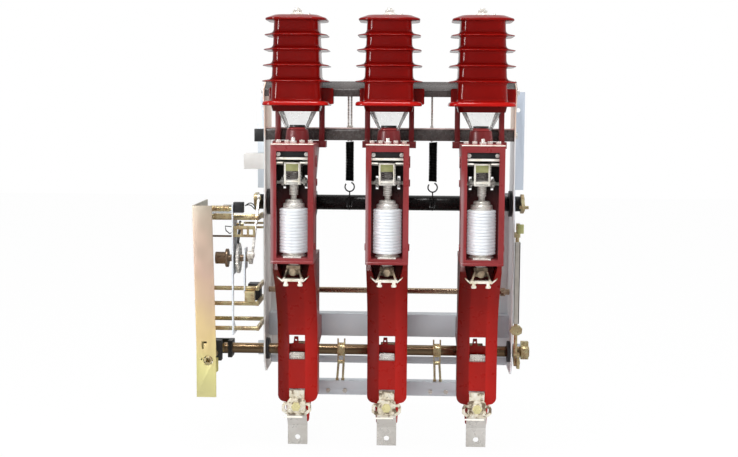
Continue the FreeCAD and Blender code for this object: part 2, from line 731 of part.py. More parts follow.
def ceramic_ends(x):
    """Metal end caps of the interrupter, with its inner contacts' envelope and foot stud."""
    bore = STEM_R + RUN
    top = turned([(bore, CERAMIC_TOP), (VI_CAP_R, CERAMIC_TOP), (VI_CAP_R, VI_CAP_TOP - 2),
                  (VI_CAP_R - 2, VI_CAP_TOP), (VI_NECK_R, VI_CAP_TOP), (VI_NECK_R, VI_NECK_TOP - 2),
                  (VI_NECK_R - 3, VI_NECK_TOP), (bore, VI_NECK_TOP)], x, VI_Y)
    floor = CAGE_BOTTOM_Z + CAGE_BOTTOM_T
    low = turned([(0, CAGE_BOTTOM_Z - 8), (12, CAGE_BOTTOM_Z - 8), (12, floor), (28, floor),
                  (28, floor + 3), (VI_CAP_R, floor + 4), (VI_CAP_R, CERAMIC_Z),
                  (14, CERAMIC_Z), (14, 18), (0, 18)], x, VI_Y)
    return [top, low, block(x - 20, x + 20, -322, -309, floor, floor + 3)]


def stem(x):
    """Moving contact stem with its spring carrier and the pin that the rockers hold."""
    y = VI_Y
    half = CARRIER_W / 2
    t = CARRIER_T
    parts = [rod("z", x, y, 30, CARRIER_Z + 2, STEM_R)]
    parts.append(rod("z", x, y, 30, 38, 12))
    parts.append(rod("z", x, y, KNOB_Z + 6, CARRIER_Z, KNOB_R))
    parts.append(block(x - half, x + half, CARRIER_FRONT, CARRIER_BACK, CARRIER_Z, CARRIER_Z + 14))
    for s in (-1, 1):
        cheek = sorted((x + s * half, x + s * (half - t)))
        parts.append(block(cheek[0], cheek[1], CARRIER_FRONT, CARRIER_BACK, CARRIER_Z, CARRIER_TOP))
    parts.append(block(x - half, x + half, CARRIER_FRONT, CARRIER_BACK, CARRIER_TOP - t - 2, CARRIER_TOP))
    parts.append(block(x - half + 1, x + half - 1, CARRIER_FRONT + 3, CARRIER_FRONT + 6,
                       CARRIER_TOP - 22, CARRIER_TOP - 2))
    parts.append(rod("z", x, y, CARRIER_Z + 10, CARRIER_TOP - 2, 8.5))
    parts.append(rod("x", DRIVE_PIN_Y, DRIVE_PIN_Z, x - DRIVE_PIN_HALF, x + DRIVE_PIN_HALF, DRIVE_PIN_R))
    return fused(parts)


def rocker(x, s):
    """One rocker plate inside the cage: fork on the drive pin, bore, tail with a roller."""
    x0 = x + s * ROCKER_X
    x1 = x + s * (ROCKER_X + ROCKER_T)
    low, high = sorted((x0, x1))
    pivot = (ROCKER_Y, DRIVE_PIN_Z - STEM_TRAVEL / 2)
    front = (DRIVE_PIN_Y, DRIVE_PIN_Z)
    tail = (ROCKER_TAIL_Y, ROCKER_TAIL_Z)
    body = fused([eye_link(pivot, front, 10.0, 9.5, low, high),
                  eye_link(pivot, tail, 10.0, 7.0, low, high)])
    play = DRIVE_PIN_R + 0.4
    slot = block(low - 1, high + 1, DRIVE_PIN_Y - 20, DRIVE_PIN_Y + 1, -play, play)
    slot = fused([slot, rod("x", DRIVE_PIN_Y + 1, 0, low - 1, high + 1, play)])
    slot.translate(V(0, 0, DRIVE_PIN_Z))
    body = body.cut(slot).cut(rod("x", pivot[0], pivot[1], low - 1, high + 1, ROCKER_PIN_R + RUN))
    wide = sorted((x0, x1 + s * ROLLER_EXTRA))
    roller = rod("x", tail[0], tail[1], wide[0], wide[1], ROLLER_R)
    return fused([body, roller])


def cage_bars():
    """Cross bars and pivot pins in the side panels, and the thin plate on each cage's top."""
    out = []
    half = CAGE_W / 2
    reach = half - CAGE_WALL + 3
    for x in PHASES:
        for y, z, r in cage_places():
            out.append(rod("x", y, z, x - reach, x + reach, r))
        out.append(block(x - half - 0.5, x + half + 0.5, CAGE_FRONT - 1.5, BUSH_Y - CUP_BASE_R - 4,
                         CAGE_TOP_Z, CAGE_TOP_Z + TOP_PLATE_T))
    return out


# Lower contact, lower insulator and terminal

def low_section(x, z, front, back, half, flat, facet):
    """Outline of the faceted lower insulator at a height."""
    pts = [(x - half, back), (x - half, front + facet), (x - flat, front), (x + flat, front),
           (x + half, front + facet), (x + half, back)]
    return Part.makePolygon([V(a, b, z) for a, b in pts + pts[:1]])


def flare(z):
    """Front face, half of the flat and depth of the facets at a height: the head swells upward."""
    share = max(0.0, (z - LOW_WAIST_Z) / (LOW_HEAD_Z - LOW_WAIST_Z)) ** 2
    return (LOW_FRONT + (LOW_HEAD_FRONT - LOW_FRONT) * share, LOW_BACK, LOW_HALF,
            LOW_FLAT + 11 * share, LOW_FACET - 8 * share)


def lower_insulator(x):
    """Open-backed faceted channel with a flared head, mouth, window, slit, feet and neck."""
    shaft_part = Part.Face(low_section(x, LOW_BOTTOM_Z, *flare(LOW_BOTTOM_Z)))
    parts = [shaft_part.extrude(V(0, 0, LOW_WAIST_Z - LOW_BOTTOM_Z))]
    step = (LOW_HEAD_Z - LOW_WAIST_Z) / FLARE_STEPS
    for i in range(FLARE_STEPS):
        z0 = LOW_WAIST_Z + step * i
        parts.append(Part.makeLoft([low_section(x, z0, *flare(z0)),
                                    low_section(x, z0 + step, *flare(z0 + step))], True, True))
    crown = Part.Face(low_section(x, LOW_HEAD_Z, *flare(LOW_HEAD_Z)))
    parts.append(crown.extrude(V(0, 0, LOW_TOP_Z - LOW_HEAD_Z)))
    body = fused(parts)
    inner_half = LOW_HALF - LOW_WALL
    hollow = Part.Face(low_section(x, LOW_BOTTOM_Z + LOW_WALL, LOW_FRONT + LOW_WALL, LOW_BACK + 5,
                                   inner_half, LOW_FLAT - 2, LOW_FACET))
    hollow = hollow.extrude(V(0, 0, -110 - LOW_BOTTOM_Z - LOW_WALL))
    mouth = prism_y([(x - MOUTH_TOP_HALF, LOW_TOP_Z + 5), (x - MOUTH_TOP_HALF, LOW_TOP_Z - 8),
                     (x - MOUTH_LOW_HALF, MOUTH_Z), (x + MOUTH_LOW_HALF, MOUTH_Z),
                     (x + MOUTH_TOP_HALF, LOW_TOP_Z - 8), (x + MOUTH_TOP_HALF, LOW_TOP_Z + 5)],
                    LOW_HEAD_FRONT - 10, -222)
    window = block(x - WINDOW_HALF, x + WINDOW_HALF, LOW_FRONT - 5, LOW_FRONT + 20, WINDOW_Z, WINDOW_TOP)
    slit = block(x - WINDOW_HALF, x + WINDOW_HALF, LOW_FRONT - 5, LOW_FRONT + 20, SLIT_Z, SLIT_TOP)
    body = body.cut(Part.makeCompound([hollow, mouth])).cut(window).cut(slit)
    body = body.cut(corner_waste(x, 1)).cut(corner_waste(x, -1))
    parts = [body, inner_rib(x)]
    for s in (-1, 1):
        foot = sorted((x + s * LOW_HALF, x + s * (LOW_HALF - FOOT_T)))
        upper = [(LOW_BACK - 1, -190), (LOW_BACK - 1, -262), (LOW_BEAM_FRONT - GAP, LOW_BEAM_Z + 3),
                 (LOW_BEAM_FRONT - GAP, LOW_BEAM_TOP - 3)]
        parts.append(prism_x(upper, foot[0], foot[1]))
        toe = sorted((x + s * 28, x + s * 18))
        lower = [(-160, LOW_BOTTOM_Z + 16), (-160, BOTTOM_BEAM_Z), (LOW_BEAM_FRONT - GAP, BOTTOM_BEAM_Z + 4),
                 (LOW_BEAM_FRONT - GAP, BOTTOM_BEAM_TOP - 12)]
        parts.append(prism_x(lower, toe[0], toe[1]))
    parts.append(rounded_loft(x, NECK_Y, (NECK_Z, NECK_W - 8, NECK_D - 6, 8.0),
                              (LOW_BOTTOM_Z + 2, NECK_W, NECK_D, 8.0)))
    return fused(parts)


def inner_rib(x):
    """Cast rib across the window with an upright tab and its hole."""
    edge = LOW_HALF - LOW_WALL + 1
    outline = [(x - edge, -270), (x + edge, -270), (x + edge, -256), (x + 14, -252), (x + 1, -252),
               (x, -236), (x - 9, -236), (x - 11, -252), (x - edge, -256)]
    inner = LOW_FRONT + LOW_WALL + LOW_FACET
    rib = prism_y(outline, inner, inner + 8)
    return rib.cut(rod("y", x - 5, -244, inner - 5, inner + 15, 2.6))


def corner_waste(x, s):
    """What the rounded lower corner of the insulator leaves away."""
    r = LOW_CORNER_R
    cx = x + s * (LOW_HALF - r)
    cz = LOW_BOTTOM_Z + r
    ends = sorted((cx, x + s * (LOW_HALF + 1)))
    square = block(ends[0], ends[1], LOW_FRONT - 2, LOW_BACK + 2, LOW_BOTTOM_Z - 1, cz)
    return square.cut(rod("y", cx, cz, LOW_FRONT - 5, LOW_BACK + 5, r))


def lower_contact(x):
    """Bracket in the mouth: block under the interrupter's stud, wings, bar and bolts."""
    top = CAGE_BOTTOM_Z - 8 - GAP
    parts = [block(x - 15, x + 15, -296, -224, -72, top)]
    for s in (-1, 1):
        wing = [(x + s * 12, -60), (x + s * 15, -60), (x + s * 24, -86), (x + s * 19, -86)]
        parts.append(prism_y(wing, -306, -290))
        tip = [(x + s * 23, -84), (x + s * 36, -73), (x + s * 36, -76), (x + s * 23, -88)]
        parts.append(prism_y(tip, -308, -300.5))
        parts.append(rod("z", x + s * 16, -303, -96, -80, 4.0))
        parts.append(hexagon("z", x + s * 16, -303, -97, 5, 10))
    parts.append(block(x - 24, x + 24, -310, -292, -86, -80))
    parts.append(rod("y", x, -65, -299, -295, 10.0))
    parts.append(hexagon("y", x, -65, -307, 8, 15))
    return fused(parts)


def lower_terminal(x):
    """Strap out of the slit, clamp with its bolt and hooked sides, and the flat pad with its hole."""
    front = LOW_FRONT - PAD_T
    run = [(LOW_FRONT + LOW_WALL, SLIT_Z + PAD_T), (front, SLIT_Z + PAD_T), (front, CLAMP_Z - 20)]
    tab = bent_sheet(run, PAD_T, x - TAB_W / 2, x + TAB_W / 2)
    run = [(front, CLAMP_Z - 10), (front, CLAMP_Z - 25), (PAD_Y, PAD_BEND_Z), (PAD_Y, PAD_Z)]
    strap = bent_sheet(run, PAD_T, x - PAD_W / 2, x + PAD_W / 2)
    strap = strap.cut(rod("y", x, PAD_HOLE_Z, -260, -150, PAD_HOLE_R))
    z = CLAMP_Z
    face = [(x - 15, z + 17), (x + 15, z + 17), (x + 21, z + 10), (x + 21, z - 12), (x + 14, z - 19),
            (x - 14, z - 19), (x - 21, z - 12), (x - 21, z + 10)]
    parts = [tab, strap, prism_y(face, front - 10, front)]
    parts.append(rod("y", x, z, front - 13, front - 9, 12.0))
    parts.append(hexagon("y", x, z, front - 23, 11, 19))
    for s in (-1, 1):
        hook = [(x + s * 19, z + 5), (x + s * 30, z + 7), (x + s * 34, z - 1), (x + s * 34, z - 13),
                (x + s * 24, z - 21), (x + s * 17, z - 17), (x + s * 27, z - 11), (x + s * 28, z - 2),
                (x + s * 25, z + 1), (x + s * 19, z)]
        parts.append(prism_y(hook, front - 9, front - 1))
        parts.append(hexagon("y", x + s * 15, z - 13, front - 14, 5, 7))
    parts.append(block(x - 21.5, x + 21.5, front - 6, front + 5, z - 27, z - 20))
    return fused(parts)


# Earthing switch and interlock

def blade(x):
    """Two brass laminations on a split hub, pointing down and to the rear."""
    parts = [rod("x", EARTH_Y, EARTH_Z, x - 17, x + 17, EARTH_R + 6)]
    for s in (-1, 1):
        side = sorted((x + s * (TONGUE_T / 2 + 0.4), x + s * (TONGUE_T / 2 + 0.4 + BLADE_T)))
        outline = [(EARTH_Y, EARTH_Z - BLADE_W / 2), (EARTH_Y + BLADE_L - 3, EARTH_Z - BLADE_W / 2),
                   (EARTH_Y + BLADE_L, EARTH_Z - BLADE_W / 2 + 3),
                   (EARTH_Y + BLADE_L, EARTH_Z + BLADE_W / 2 - 3),
                   (EARTH_Y + BLADE_L - 3, EARTH_Z + BLADE_W / 2), (EARTH_Y, EARTH_Z + BLADE_W / 2)]
        parts.append(prism_x(outline, side[0], side[1]))
    body = fused(parts).cut(rod("x", EARTH_Y, EARTH_Z, x - 30, x + 30, EARTH_R))
    return turn_x(body, EARTH_Y, EARTH_Z, -BLADE_REST)


def earth_contact(x):
    """Fixed contact tongue on the lower insulator's floor, and ribbed fingers at the window's sill."""
    t = TONGUE_T / 2
    z0 = LOW_BOTTOM_Z + LOW_WALL
    reach = BLADE_L * math.cos(math.radians(BLADE_REST))
    tip_y = EARTH_Y - reach
    foot = block(x - 12, x + 12, tip_y - 14, tip_y + 16, z0, z0 + 5)
    outline = [(tip_y - 12, z0), (tip_y + 14, z0), (tip_y + 10, EARTH_Z - reach + 22),
               (tip_y - 6, EARTH_Z - reach + 22)]
    tongue = fused([foot, prism_x(outline, x - t, x + t)])
    wall = LOW_FRONT + LOW_WALL
    comb = [block(x - 17, x + 17, wall, wall + 4, -306, -269)]
    for k in range(6):
        comb.append(block(x - 17 + 6 * k, x - 13 + 6 * k, wall - 3 + 0.5, wall + 4, WINDOW_Z + 0.3, -279))
        comb.append(block(x - 17 + 6 * k, x - 13 + 6 * k, wall - 3 + 0.5, wall + 4, -276, -270))
    return [tongue, fused(comb)]


def make_earthing():
    """Earthing shaft with blades, right clamp end, link lever, yokes and fixed contacts."""
    body = rod("x", EARTH_Y, EARTH_Z, EARTH_LEFT, EARTH_RIGHT, EARTH_R)
    gear = Part.makeCone(BEVEL_R - BEVEL_FACE, BEVEL_R, BEVEL_FACE,
                         V(EARTH_LEFT - BEVEL_FACE, EARTH_Y, EARTH_Z), V(1, 0, 0))
    save("earth_shaft", [fused([body, gear])])
    save("earth_blades", [blade(x) for x in PHASES])
    save("earth_contacts", [p for x in PHASES for p in earth_contact(x)])
    save("earth_lever", [link_lever(), clamp_end()])
    yokes = []
    for x, foot in YOKES:
        yokes.append(spring_yoke(x, foot))
    save("spring_yokes", yokes)


def lever_pin():
    """Place of the link lever's pin at rest: down and to the front."""
    d = LEVER_R * math.sqrt(0.5)
    return (EARTH_Y - d, EARTH_Z - d)


def link_lever():
    """Lever on the earthing shaft that lifts the interlock rod."""
    pin = lever_pin()
    x0 = PLATE_X + 3
    plate = eye_link((EARTH_Y, EARTH_Z), pin, 17.0, 8.0, x0, x0 + 5)
    plate = fused([plate, rod("x", pin[0], pin[1], x0 + 4, x0 + 15, LEVER_PIN_R)])
    return plate.cut(rod("x", EARTH_Y, EARTH_Z, 200, 400, EARTH_R))


def clamp_end():
    """Split clamp with two bolts on the right end of the earthing shaft."""
    x0 = EARTH_RIGHT - 20
    ring = rod("x", EARTH_Y, EARTH_Z, x0, EARTH_RIGHT - 2, EARTH_R + 6)
    ears = block(x0, EARTH_RIGHT - 2, EARTH_Y - 8, EARTH_Y + 8, EARTH_Z + 12, EARTH_Z + 25)
    body = fused([ring, ears])
    split = block(x0 - 5, EARTH_RIGHT + 5, EARTH_Y - 1.5, EARTH_Y + 1.5, EARTH_Z, EARTH_Z + 30)
    bolt = rod("y", x0 + 9, EARTH_Z + 20, EARTH_Y - 12, EARTH_Y + 12, 3.0)
    return fused([body.cut(split).cut(rod("x", EARTH_Y, EARTH_Z, 200, 400, EARTH_R)), bolt])


def interlock_rod():
    """Rod with a slotted lower eye on a jog, a clamp block, a nut and an upper eye."""
    pin = lever_pin()
    mid = (pin[0] + EARTH_Y - LEVER_R) / 2
    x = LINK_X - LINK_JOG
    half = 11.0
    body = rod("z", x, mid, pin[1] + half + 9, LINK_TOP, LINK_R)
    eye = block(LINK_X - 3, LINK_X + 4, mid - 13, mid + 13, pin[1] - half, pin[1] + half)
    play = LEVER_PIN_R + 1.1
    travel = LEVER_R * (1 - math.sqrt(0.5)) / 2 + 0.5
    slot = [rod("x", mid + s * travel, pin[1], LINK_X - 10, LINK_X + 10, play) for s in (-1, 1)]
    slot.append(block(LINK_X - 10, LINK_X + 10, mid - travel, mid + travel, pin[1] - play, pin[1] + play))
    eye = eye.cut(fused(slot))
    neck = block(LINK_X - 3, LINK_X + 4, mid - 6, mid + 5, pin[1] + half - 1, pin[1] + half + 14)
    jog = fused([neck, block(x - LINK_R, LINK_X + 4, mid - 6, mid + 5, pin[1] + half + 8, pin[1] + half + 14)])
    clamp = [(x - 15, -222), (x - 9, -211), (x + 8, -209), (x + 15, -216), (x + 14, -227), (x + 6, -232),
             (x - 8, -231)]
    lock = prism_y(clamp, mid - 9, mid + 3)
    top_nut = hexagon("z", x, mid, LINK_TOP - 12, 12, 12.5)
    top_eye = rod("x", mid, LINK_TOP + 10, x - 3, x + 5, 11.5)
    top_eye = top_eye.cut(rod("x", mid, LINK_TOP + 10, 200, 400, 5.5))
    return fused([body, eye, jog, lock, top_nut, top_eye])


def spring_yoke(x, foot):
    """Hairpin spring: collar on the earthing shaft, pegs, two cheeks with a bar, legs to the beam."""
    y = EARTH_Y
    z = EARTH_Z
    parts = [rod("x", y, z, x - 9, x + 9, EARTH_R + 3.5)]
    for s in (-1, 1):
        parts.append(rod("z", x + s * 8, y, z + 12, z + 26, 1.8))
        cheek = sorted((x + s * 6, x + s * 8.5))
        parts.append(block(cheek[0], cheek[1], y - 13, y - 3, z - 31, z - 11))
    parts.append(rod("x", y - 8, z - 29, x - 8.5, x + 8.5, 4.5))
    legs = []
    foot_y = LOW_BEAM_FRONT + 8
    for s in (-1, 1):
        start = V(x + s * 6, y - 8, z - 29)
        end = V(foot + s * 7, foot_y, BOTTOM_BEAM_TOP + 3)
        legs.append(Part.makeCylinder(2.8, start.distanceToPoint(end), start, end.sub(start)))
        legs.append(rod("z", foot + s * 7, foot_y, BOTTOM_BEAM_TOP, BOTTOM_BEAM_TOP + 5, 4.0))
    body = fused(parts + legs)
    return body.cut(rod("x", y, z, x - 20, x + 20, EARTH_R + RUN))


# Mechanism on the left

def spacer_places():
    """Places of the mechanism's spacer bars as (y, z)."""
    return [(-215, 47), (-90, 40), (-218, -116), (-222, -151), (-100, -208), (-218, -210)]


def panel_inner(z):
    """Inner face of the side panel, which leans outward above its bend."""
    rise = max(0.0, (z - PANEL_BEND_Z) / (PANEL_TOP - PANEL_BEND_Z))
    return PANEL_X + PANEL_T - PANEL_LEAN * rise


def panel_outline(x0, x1):
    """Front outline of the panel between two widths, with its lean."""
    lean = PANEL_LEAN
    return [(x0, PANEL_Z), (x1, PANEL_Z), (x1, PANEL_BEND_Z), (x1 - lean, PANEL_TOP),
            (x0 - lean, PANEL_TOP), (x0, PANEL_BEND_Z)]


def make_mechanism_body():
    """Side panel with its front lip, inner plates, spacers and small brackets."""
    x = PANEL_X
    t = PANEL_T
    side = prism_y(panel_outline(x, x + t), PANEL_FRONT, PANEL_BACK)
    lip = prism_y(panel_outline(x, x + LIP_W), PANEL_FRONT, PANEL_FRONT + t)
    panel = fused([side, lip])
    cuts = [rod("y", SOCKET_X, EARTH_Z, PANEL_FRONT - 5, PANEL_FRONT + 10, 11.0)]
    cuts.append(rod("y", SOCKET_X - 15, EARTH_Z + 2, PANEL_FRONT - 5, PANEL_FRONT + 10, 2.5))
    cuts.append(block(x + 12, x + 17, PANEL_FRONT - 5, PANEL_FRONT + 10, -252, -234))
    cuts.append(block(x + 12, x + 24, PANEL_FRONT - 5, PANEL_FRONT + 10, -239, -234))
    save("mech_panel", [panel.cut(Part.makeCompound(cuts))])
    front = -238.0
    strip = front + MID_PLATE_W
    outline = [(front, MID_PLATE_Z), (-180, MID_PLATE_Z), (strip, -190), (strip, -84), (-168, -84),
               (-168, 42), (strip, 46), (strip, MID_PLATE_TOP), (front, MID_PLATE_TOP)]
    mid = prism_x(outline, MID_PLATE_X, MID_PLATE_X + t)
    outline = [(-228, -126), (-212, -126), (-212, -72), (-182, -72), (-182, -24), (-218, -24), (-228, -40)]
    narrow = prism_x(outline, NARROW_X, NARROW_X + t)
    shelf = block(panel_inner(56), MID_PLATE_X, -225, -120, 56, 56 + t)
    holes = [rod("x", y, z, -440, -300, 5.0) for y, z in spacer_places()]
    holes.append(rod("x", HUB_Y, HUB_Z, -440, -300, HUB_SHAFT_R + RUN))
    waste = Part.makeCompound(holes)
    save("mech_plates", [mid.cut(waste), narrow.cut(waste), shelf])
    spacers = []
    for y, z in spacer_places():
        start = panel_inner(z - 5)
        if y > PLATE_FRONT_LOW:
            spacers.append(rod("x", y, z, start, -(PLATE_X + GAP), 5.0))
            continue
        bar = rod("x", y, z, start, -299, 5.0)
        strap = block(-303, -PLATE_X, y - 4, PLATE_FRONT_LOW + 22, z - 5, z + 5)
        spacers.append(fused([bar, strap]))
    pin = rod("x", LATCH_PIVOT[0], LATCH_PIVOT[1], MID_PLATE_X + PANEL_T, -338, 4.0)
    spacers.append(pin)
    spacers.append(front_bracket())
    spacers.append(block(-328, -306, -236, -217, -146, -121))
    spacers.append(block(-398, MID_PLATE_X, -238, -226, 47, 58))
    save("mech_spacers", spacers)


def front_bracket():
    """Slotted bracket on the middle plate, in front of the link."""
    x0 = MID_PLATE_X + PANEL_T
    plate = block(x0, -304, -232, -229, 4, 30)
    cuts = [block(x0 + a, x0 + a + 9, -240, -220, 10, 22) for a in (8, 22, 36)]
    return plate.cut(Part.makeCompound(cuts))


def make_hub():
    """Operating shaft with its gold hub, ratchet disc and crank, and the drive link."""
    body = rod("x", HUB_Y, HUB_Z, -400, CRANK_X + 2, HUB_SHAFT_R)
    hub = rod("x", HUB_Y, HUB_Z, -400, -376, 14.0)
    flange = rod("x", HUB_Y, HUB_Z, -376, -370, 21.5)
    save("mech_hub", [fused([body, hub, flange])])
    arm = crank(CRANK_X, HUB_Y, HUB_Z, "hub").cut(rod("x", HUB_Y, HUB_Z, -400, -315, HUB_SHAFT_R))
    save("hub_crank", [arm, ratchet(-349, -343)])
    p = crank_tip(SHAFT_Y, SHAFT_Z)
    q = crank_tip(HUB_Y, HUB_Z)
    x0 = CRANK_X + CRANK_T + GAP
    link = fused([rod("x", p[0], p[1], x0, x0 + 6, 9.0), rod("x", q[0], q[1], x0, x0 + 6, 9.0),
                  eye_link(p, q, 4.01, 4.0, x0 + 0.5, x0 + 5.5)])
    link = link.cut(rod("x", p[0], p[1], -400, 0, CRANK_PIN_R + RUN))
    link = link.cut(rod("x", q[0], q[1], -400, 0, CRANK_PIN_R + 0.4))
    save("drive_link", [link])


def ratchet(x0, x1):
    """Toothed disc on the operating shaft."""
    teeth = 24
    r = RATCHET_R
    pts = []
    for k in range(teeth):
        a = 2 * math.pi * k / teeth
        b = 2 * math.pi * (k + 0.75) / teeth
        pts.append((HUB_Y + r * math.cos(a), HUB_Z + r * math.sin(a)))
        pts.append((HUB_Y + (r - 4) * math.cos(b), HUB_Z + (r - 4) * math.sin(b)))
    disc = prism_x(pts, x0, x1)
    return disc.cut(rod("x", HUB_Y, HUB_Z, x0 - 5, x1 + 5, HUB_SHAFT_R))


def make_mechanism_small():
    """Latch, spring, coil, switch boxes, socket shaft and its bearing block, hanging lever."""
    pivot = LATCH_PIVOT
    lean = math.radians(LATCH_LEAN)
    reach = RATCHET_R + LATCH_NOSE_R + 0.5
    nose = (HUB_Y - reach * math.sin(lean), HUB_Z + reach * math.cos(lean))
    pawl = eye_link(pivot, nose, 9.0, LATCH_NOSE_R, -348, -344)
    pawl = pawl.cut(rod("x", pivot[0], pivot[1], -360, -330, 4.0 + RUN))
    save("latch", [pawl])
    guide = rod("x", -215, 68, panel_inner(64), MID_PLATE_X, 4.0)
    save("mech_spring", [fused([guide, rod("x", -215, 68, -408, -364, 7.7)])])
    out = -(PLATE_X + GAP)
    coil = block(-332, -303 - GAP, -150, -112, -156, -116)
    coil = coil.makeFillet(4, [e for e in coil.Edges if abs(e.tangentAt(0).x) > 0.9])
    save("aux_switch", [block(-345, out, -122, -82, 155, 192)])
    cluster = block(MID_PLATE_X + PANEL_T, -331, -234, -214, 60, 84)
    cross = []
    inner = CAGE_W / 2 - CAGE_WALL
    for x in PHASES:
        cross.append(block(x - inner, x + inner, -312, -300, 192, 204.5))
    save("control_blocks", [coil, block(-320, out, -120, -94, 220, 250), cluster] + cross)
    y0 = EARTH_Y - BEVEL_R - 0.4
    shaft = rod("y", SOCKET_X, EARTH_Z, PANEL_FRONT - 2, y0, 9.0)
    shaft = shaft.cut(block(SOCKET_X - 5, SOCKET_X + 5, PANEL_FRONT - 5, PANEL_FRONT + 18,
                            EARTH_Z - 5, EARTH_Z + 5))
    gear = Part.makeCone(BEVEL_R, BEVEL_R - BEVEL_FACE, BEVEL_FACE, V(SOCKET_X, y0, EARTH_Z), V(0, 1, 0))
    save("socket_shaft", [fused([shaft, gear])])
    wall = PANEL_X + PANEL_T
    front = block(wall, -392, -178, -158, EARTH_Z - 18, EARTH_Z + 30)
    front = front.cut(rod("y", SOCKET_X, EARTH_Z, -200, -150, 9.0 + RUN))
    front = front.cut(rod("y", -403, EARTH_Z - 13, -180, -168, 2.0 + RUN))
    rear = block(wall, -374, EARTH_Y + 18, EARTH_Y + 28, EARTH_Z - 18, EARTH_Z + 18)
    cheek = block(-384, -374, EARTH_Y - 20, EARTH_Y + 20, EARTH_Z - 20, EARTH_Z + 20)
    rear = fused([rear, cheek]).cut(rod("x", EARTH_Y, EARTH_Z, -400, -350, EARTH_R + RUN))
    save("gear_brackets", [front, rear])
    lever = prism_y([(-406, EARTH_Z - 10.5), (-399, EARTH_Z - 10.5), (-399, EARTH_Z - 42),
                     (-404, EARTH_Z - 46), (-409, EARTH_Z - 40)], -181.3, -178.3)
    save("hanging_lever", [fused([lever, rod("y", -403, EARTH_Z - 13, -181.3, -169, 2.0)])])


def make_bolts():
    """Frame bolts on the side plates and bolts on the cage top plates and beams."""
    bolts = []
    for s in (-1, 1):
        for y, z in ((-122, 340), (-84, 238), (-45, -228), (-60, TIE_Z), (-14, -321)):
            x0 = s * PLATE_X if s > 0 else -PLATE_X - 6
            bolts.append(hexagon("x", y, z, x0, 6, 15))
    bolts.append(hexagon("y", PLATE_X - 20, -150, -FLANGE_T - 7, 7, 16))
    outer = panel_inner(-137) - PANEL_T
    bolts.append(hexagon("x", -232, -145, outer - 5, 5, 13))
    top = CAGE_TOP_Z + TOP_PLATE_T
    for x in PHASES:
        for dx in (-36, -17, 17, 36):
            bolts.append(hexagon("z", x + dx, -268, top, 7, 10))
        bolts.append(fused([hexagon("z", x, -296, top, 6, 13), rod("z", x, -296, top, top + 13, 4)]))
        for s in (-1, 1):
            bolts.append(hexagon("y", x + s * 31, 198, -316, 4, 9))
    for x in (-147, -106, 104, 142):
        bolts.append(hexagon("y", x, -391, LOW_BEAM_FRONT - 5, 5, 10))
    save("frame_bolts", bolts)


def main():
    """Build every node."""
    make_frame()
    for x, name in zip(PHASES, PHASE_NAMES):
        save("bushing_" + name, [bushing(x)])
        save("cage_" + name, [cage(x)])
        save("contact_tube_" + name, [tube(x)])
        save("stem_" + name, [stem(x)])
        save("rocker_" + name, [rocker(x, -1), rocker(x, 1)])
        save("lower_insulator_" + name, [lower_insulator(x)])
    save("ceramics", [ceramic(x) for x in PHASES])
    save("guide_cups", [cup(x) for x in PHASES])
    save("arc_shields", [w for x in PHASES for w in shield(x)])
    save("upper_contacts", [p for x in PHASES for p in upper_contact(x)])
    save("ceramic_ends", [e for x in PHASES for e in ceramic_ends(x)])
    save("lower_contacts", [lower_contact(x) for x in PHASES])
    save("lower_terminals", [lower_terminal(x) for x in PHASES])
    save("cage_bars", cage_bars())
    make_main_shaft()
    make_springs()
    make_earthing()
    save("interlock_rod", [interlock_rod()])
    make_mechanism_body()
    make_hub()
    make_mechanism_small()
    make_bolts()


main()
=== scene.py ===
import json
import math

import bmesh
import bpy
import numpy as np
from mathutils import Matrix


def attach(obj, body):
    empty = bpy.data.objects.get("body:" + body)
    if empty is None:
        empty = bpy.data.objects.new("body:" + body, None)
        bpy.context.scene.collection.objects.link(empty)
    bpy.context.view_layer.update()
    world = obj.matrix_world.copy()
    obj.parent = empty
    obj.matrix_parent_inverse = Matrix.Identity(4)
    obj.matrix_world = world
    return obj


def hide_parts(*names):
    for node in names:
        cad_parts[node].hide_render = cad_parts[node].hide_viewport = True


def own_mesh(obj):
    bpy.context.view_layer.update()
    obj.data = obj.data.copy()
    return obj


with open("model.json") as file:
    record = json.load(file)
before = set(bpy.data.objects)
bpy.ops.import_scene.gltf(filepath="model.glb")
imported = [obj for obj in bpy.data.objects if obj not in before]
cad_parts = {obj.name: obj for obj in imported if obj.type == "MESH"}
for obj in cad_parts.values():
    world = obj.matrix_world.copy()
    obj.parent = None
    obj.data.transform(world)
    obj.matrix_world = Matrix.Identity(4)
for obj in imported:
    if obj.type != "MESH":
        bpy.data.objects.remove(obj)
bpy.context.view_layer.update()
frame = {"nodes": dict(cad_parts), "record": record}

nodes = frame["nodes"]
MM = 0.001

# Places in the CAD frame, in millimetres
PHASES = {"left": -210.0, "middle": 0.0, "right": 210.0}
BUSH_Y = -200.0
CERAMIC_Y = -280.0
SPRING_X = (-94.0, 103.0)
SPRING_Y = -110.0
MECH_SPRING_Y = -215.0
MECH_SPRING_Z = 68.0

# The same for patterns, in metres
HALF_PITCH = 0.105
PLATE_OUTSIDE = 0.2962
PLATE_INSIDE = 0.2956


# Camera

CAMERA_AT = (0.058, -2.955, 0.300)
CAMERA_TURN = [math.radians(angle) for angle in (2.12, 5.72, 0.39)]
PICTURE_WIDTH = 738.0
FOCAL_LENGTH = 1200.0
SENSOR = 36.0


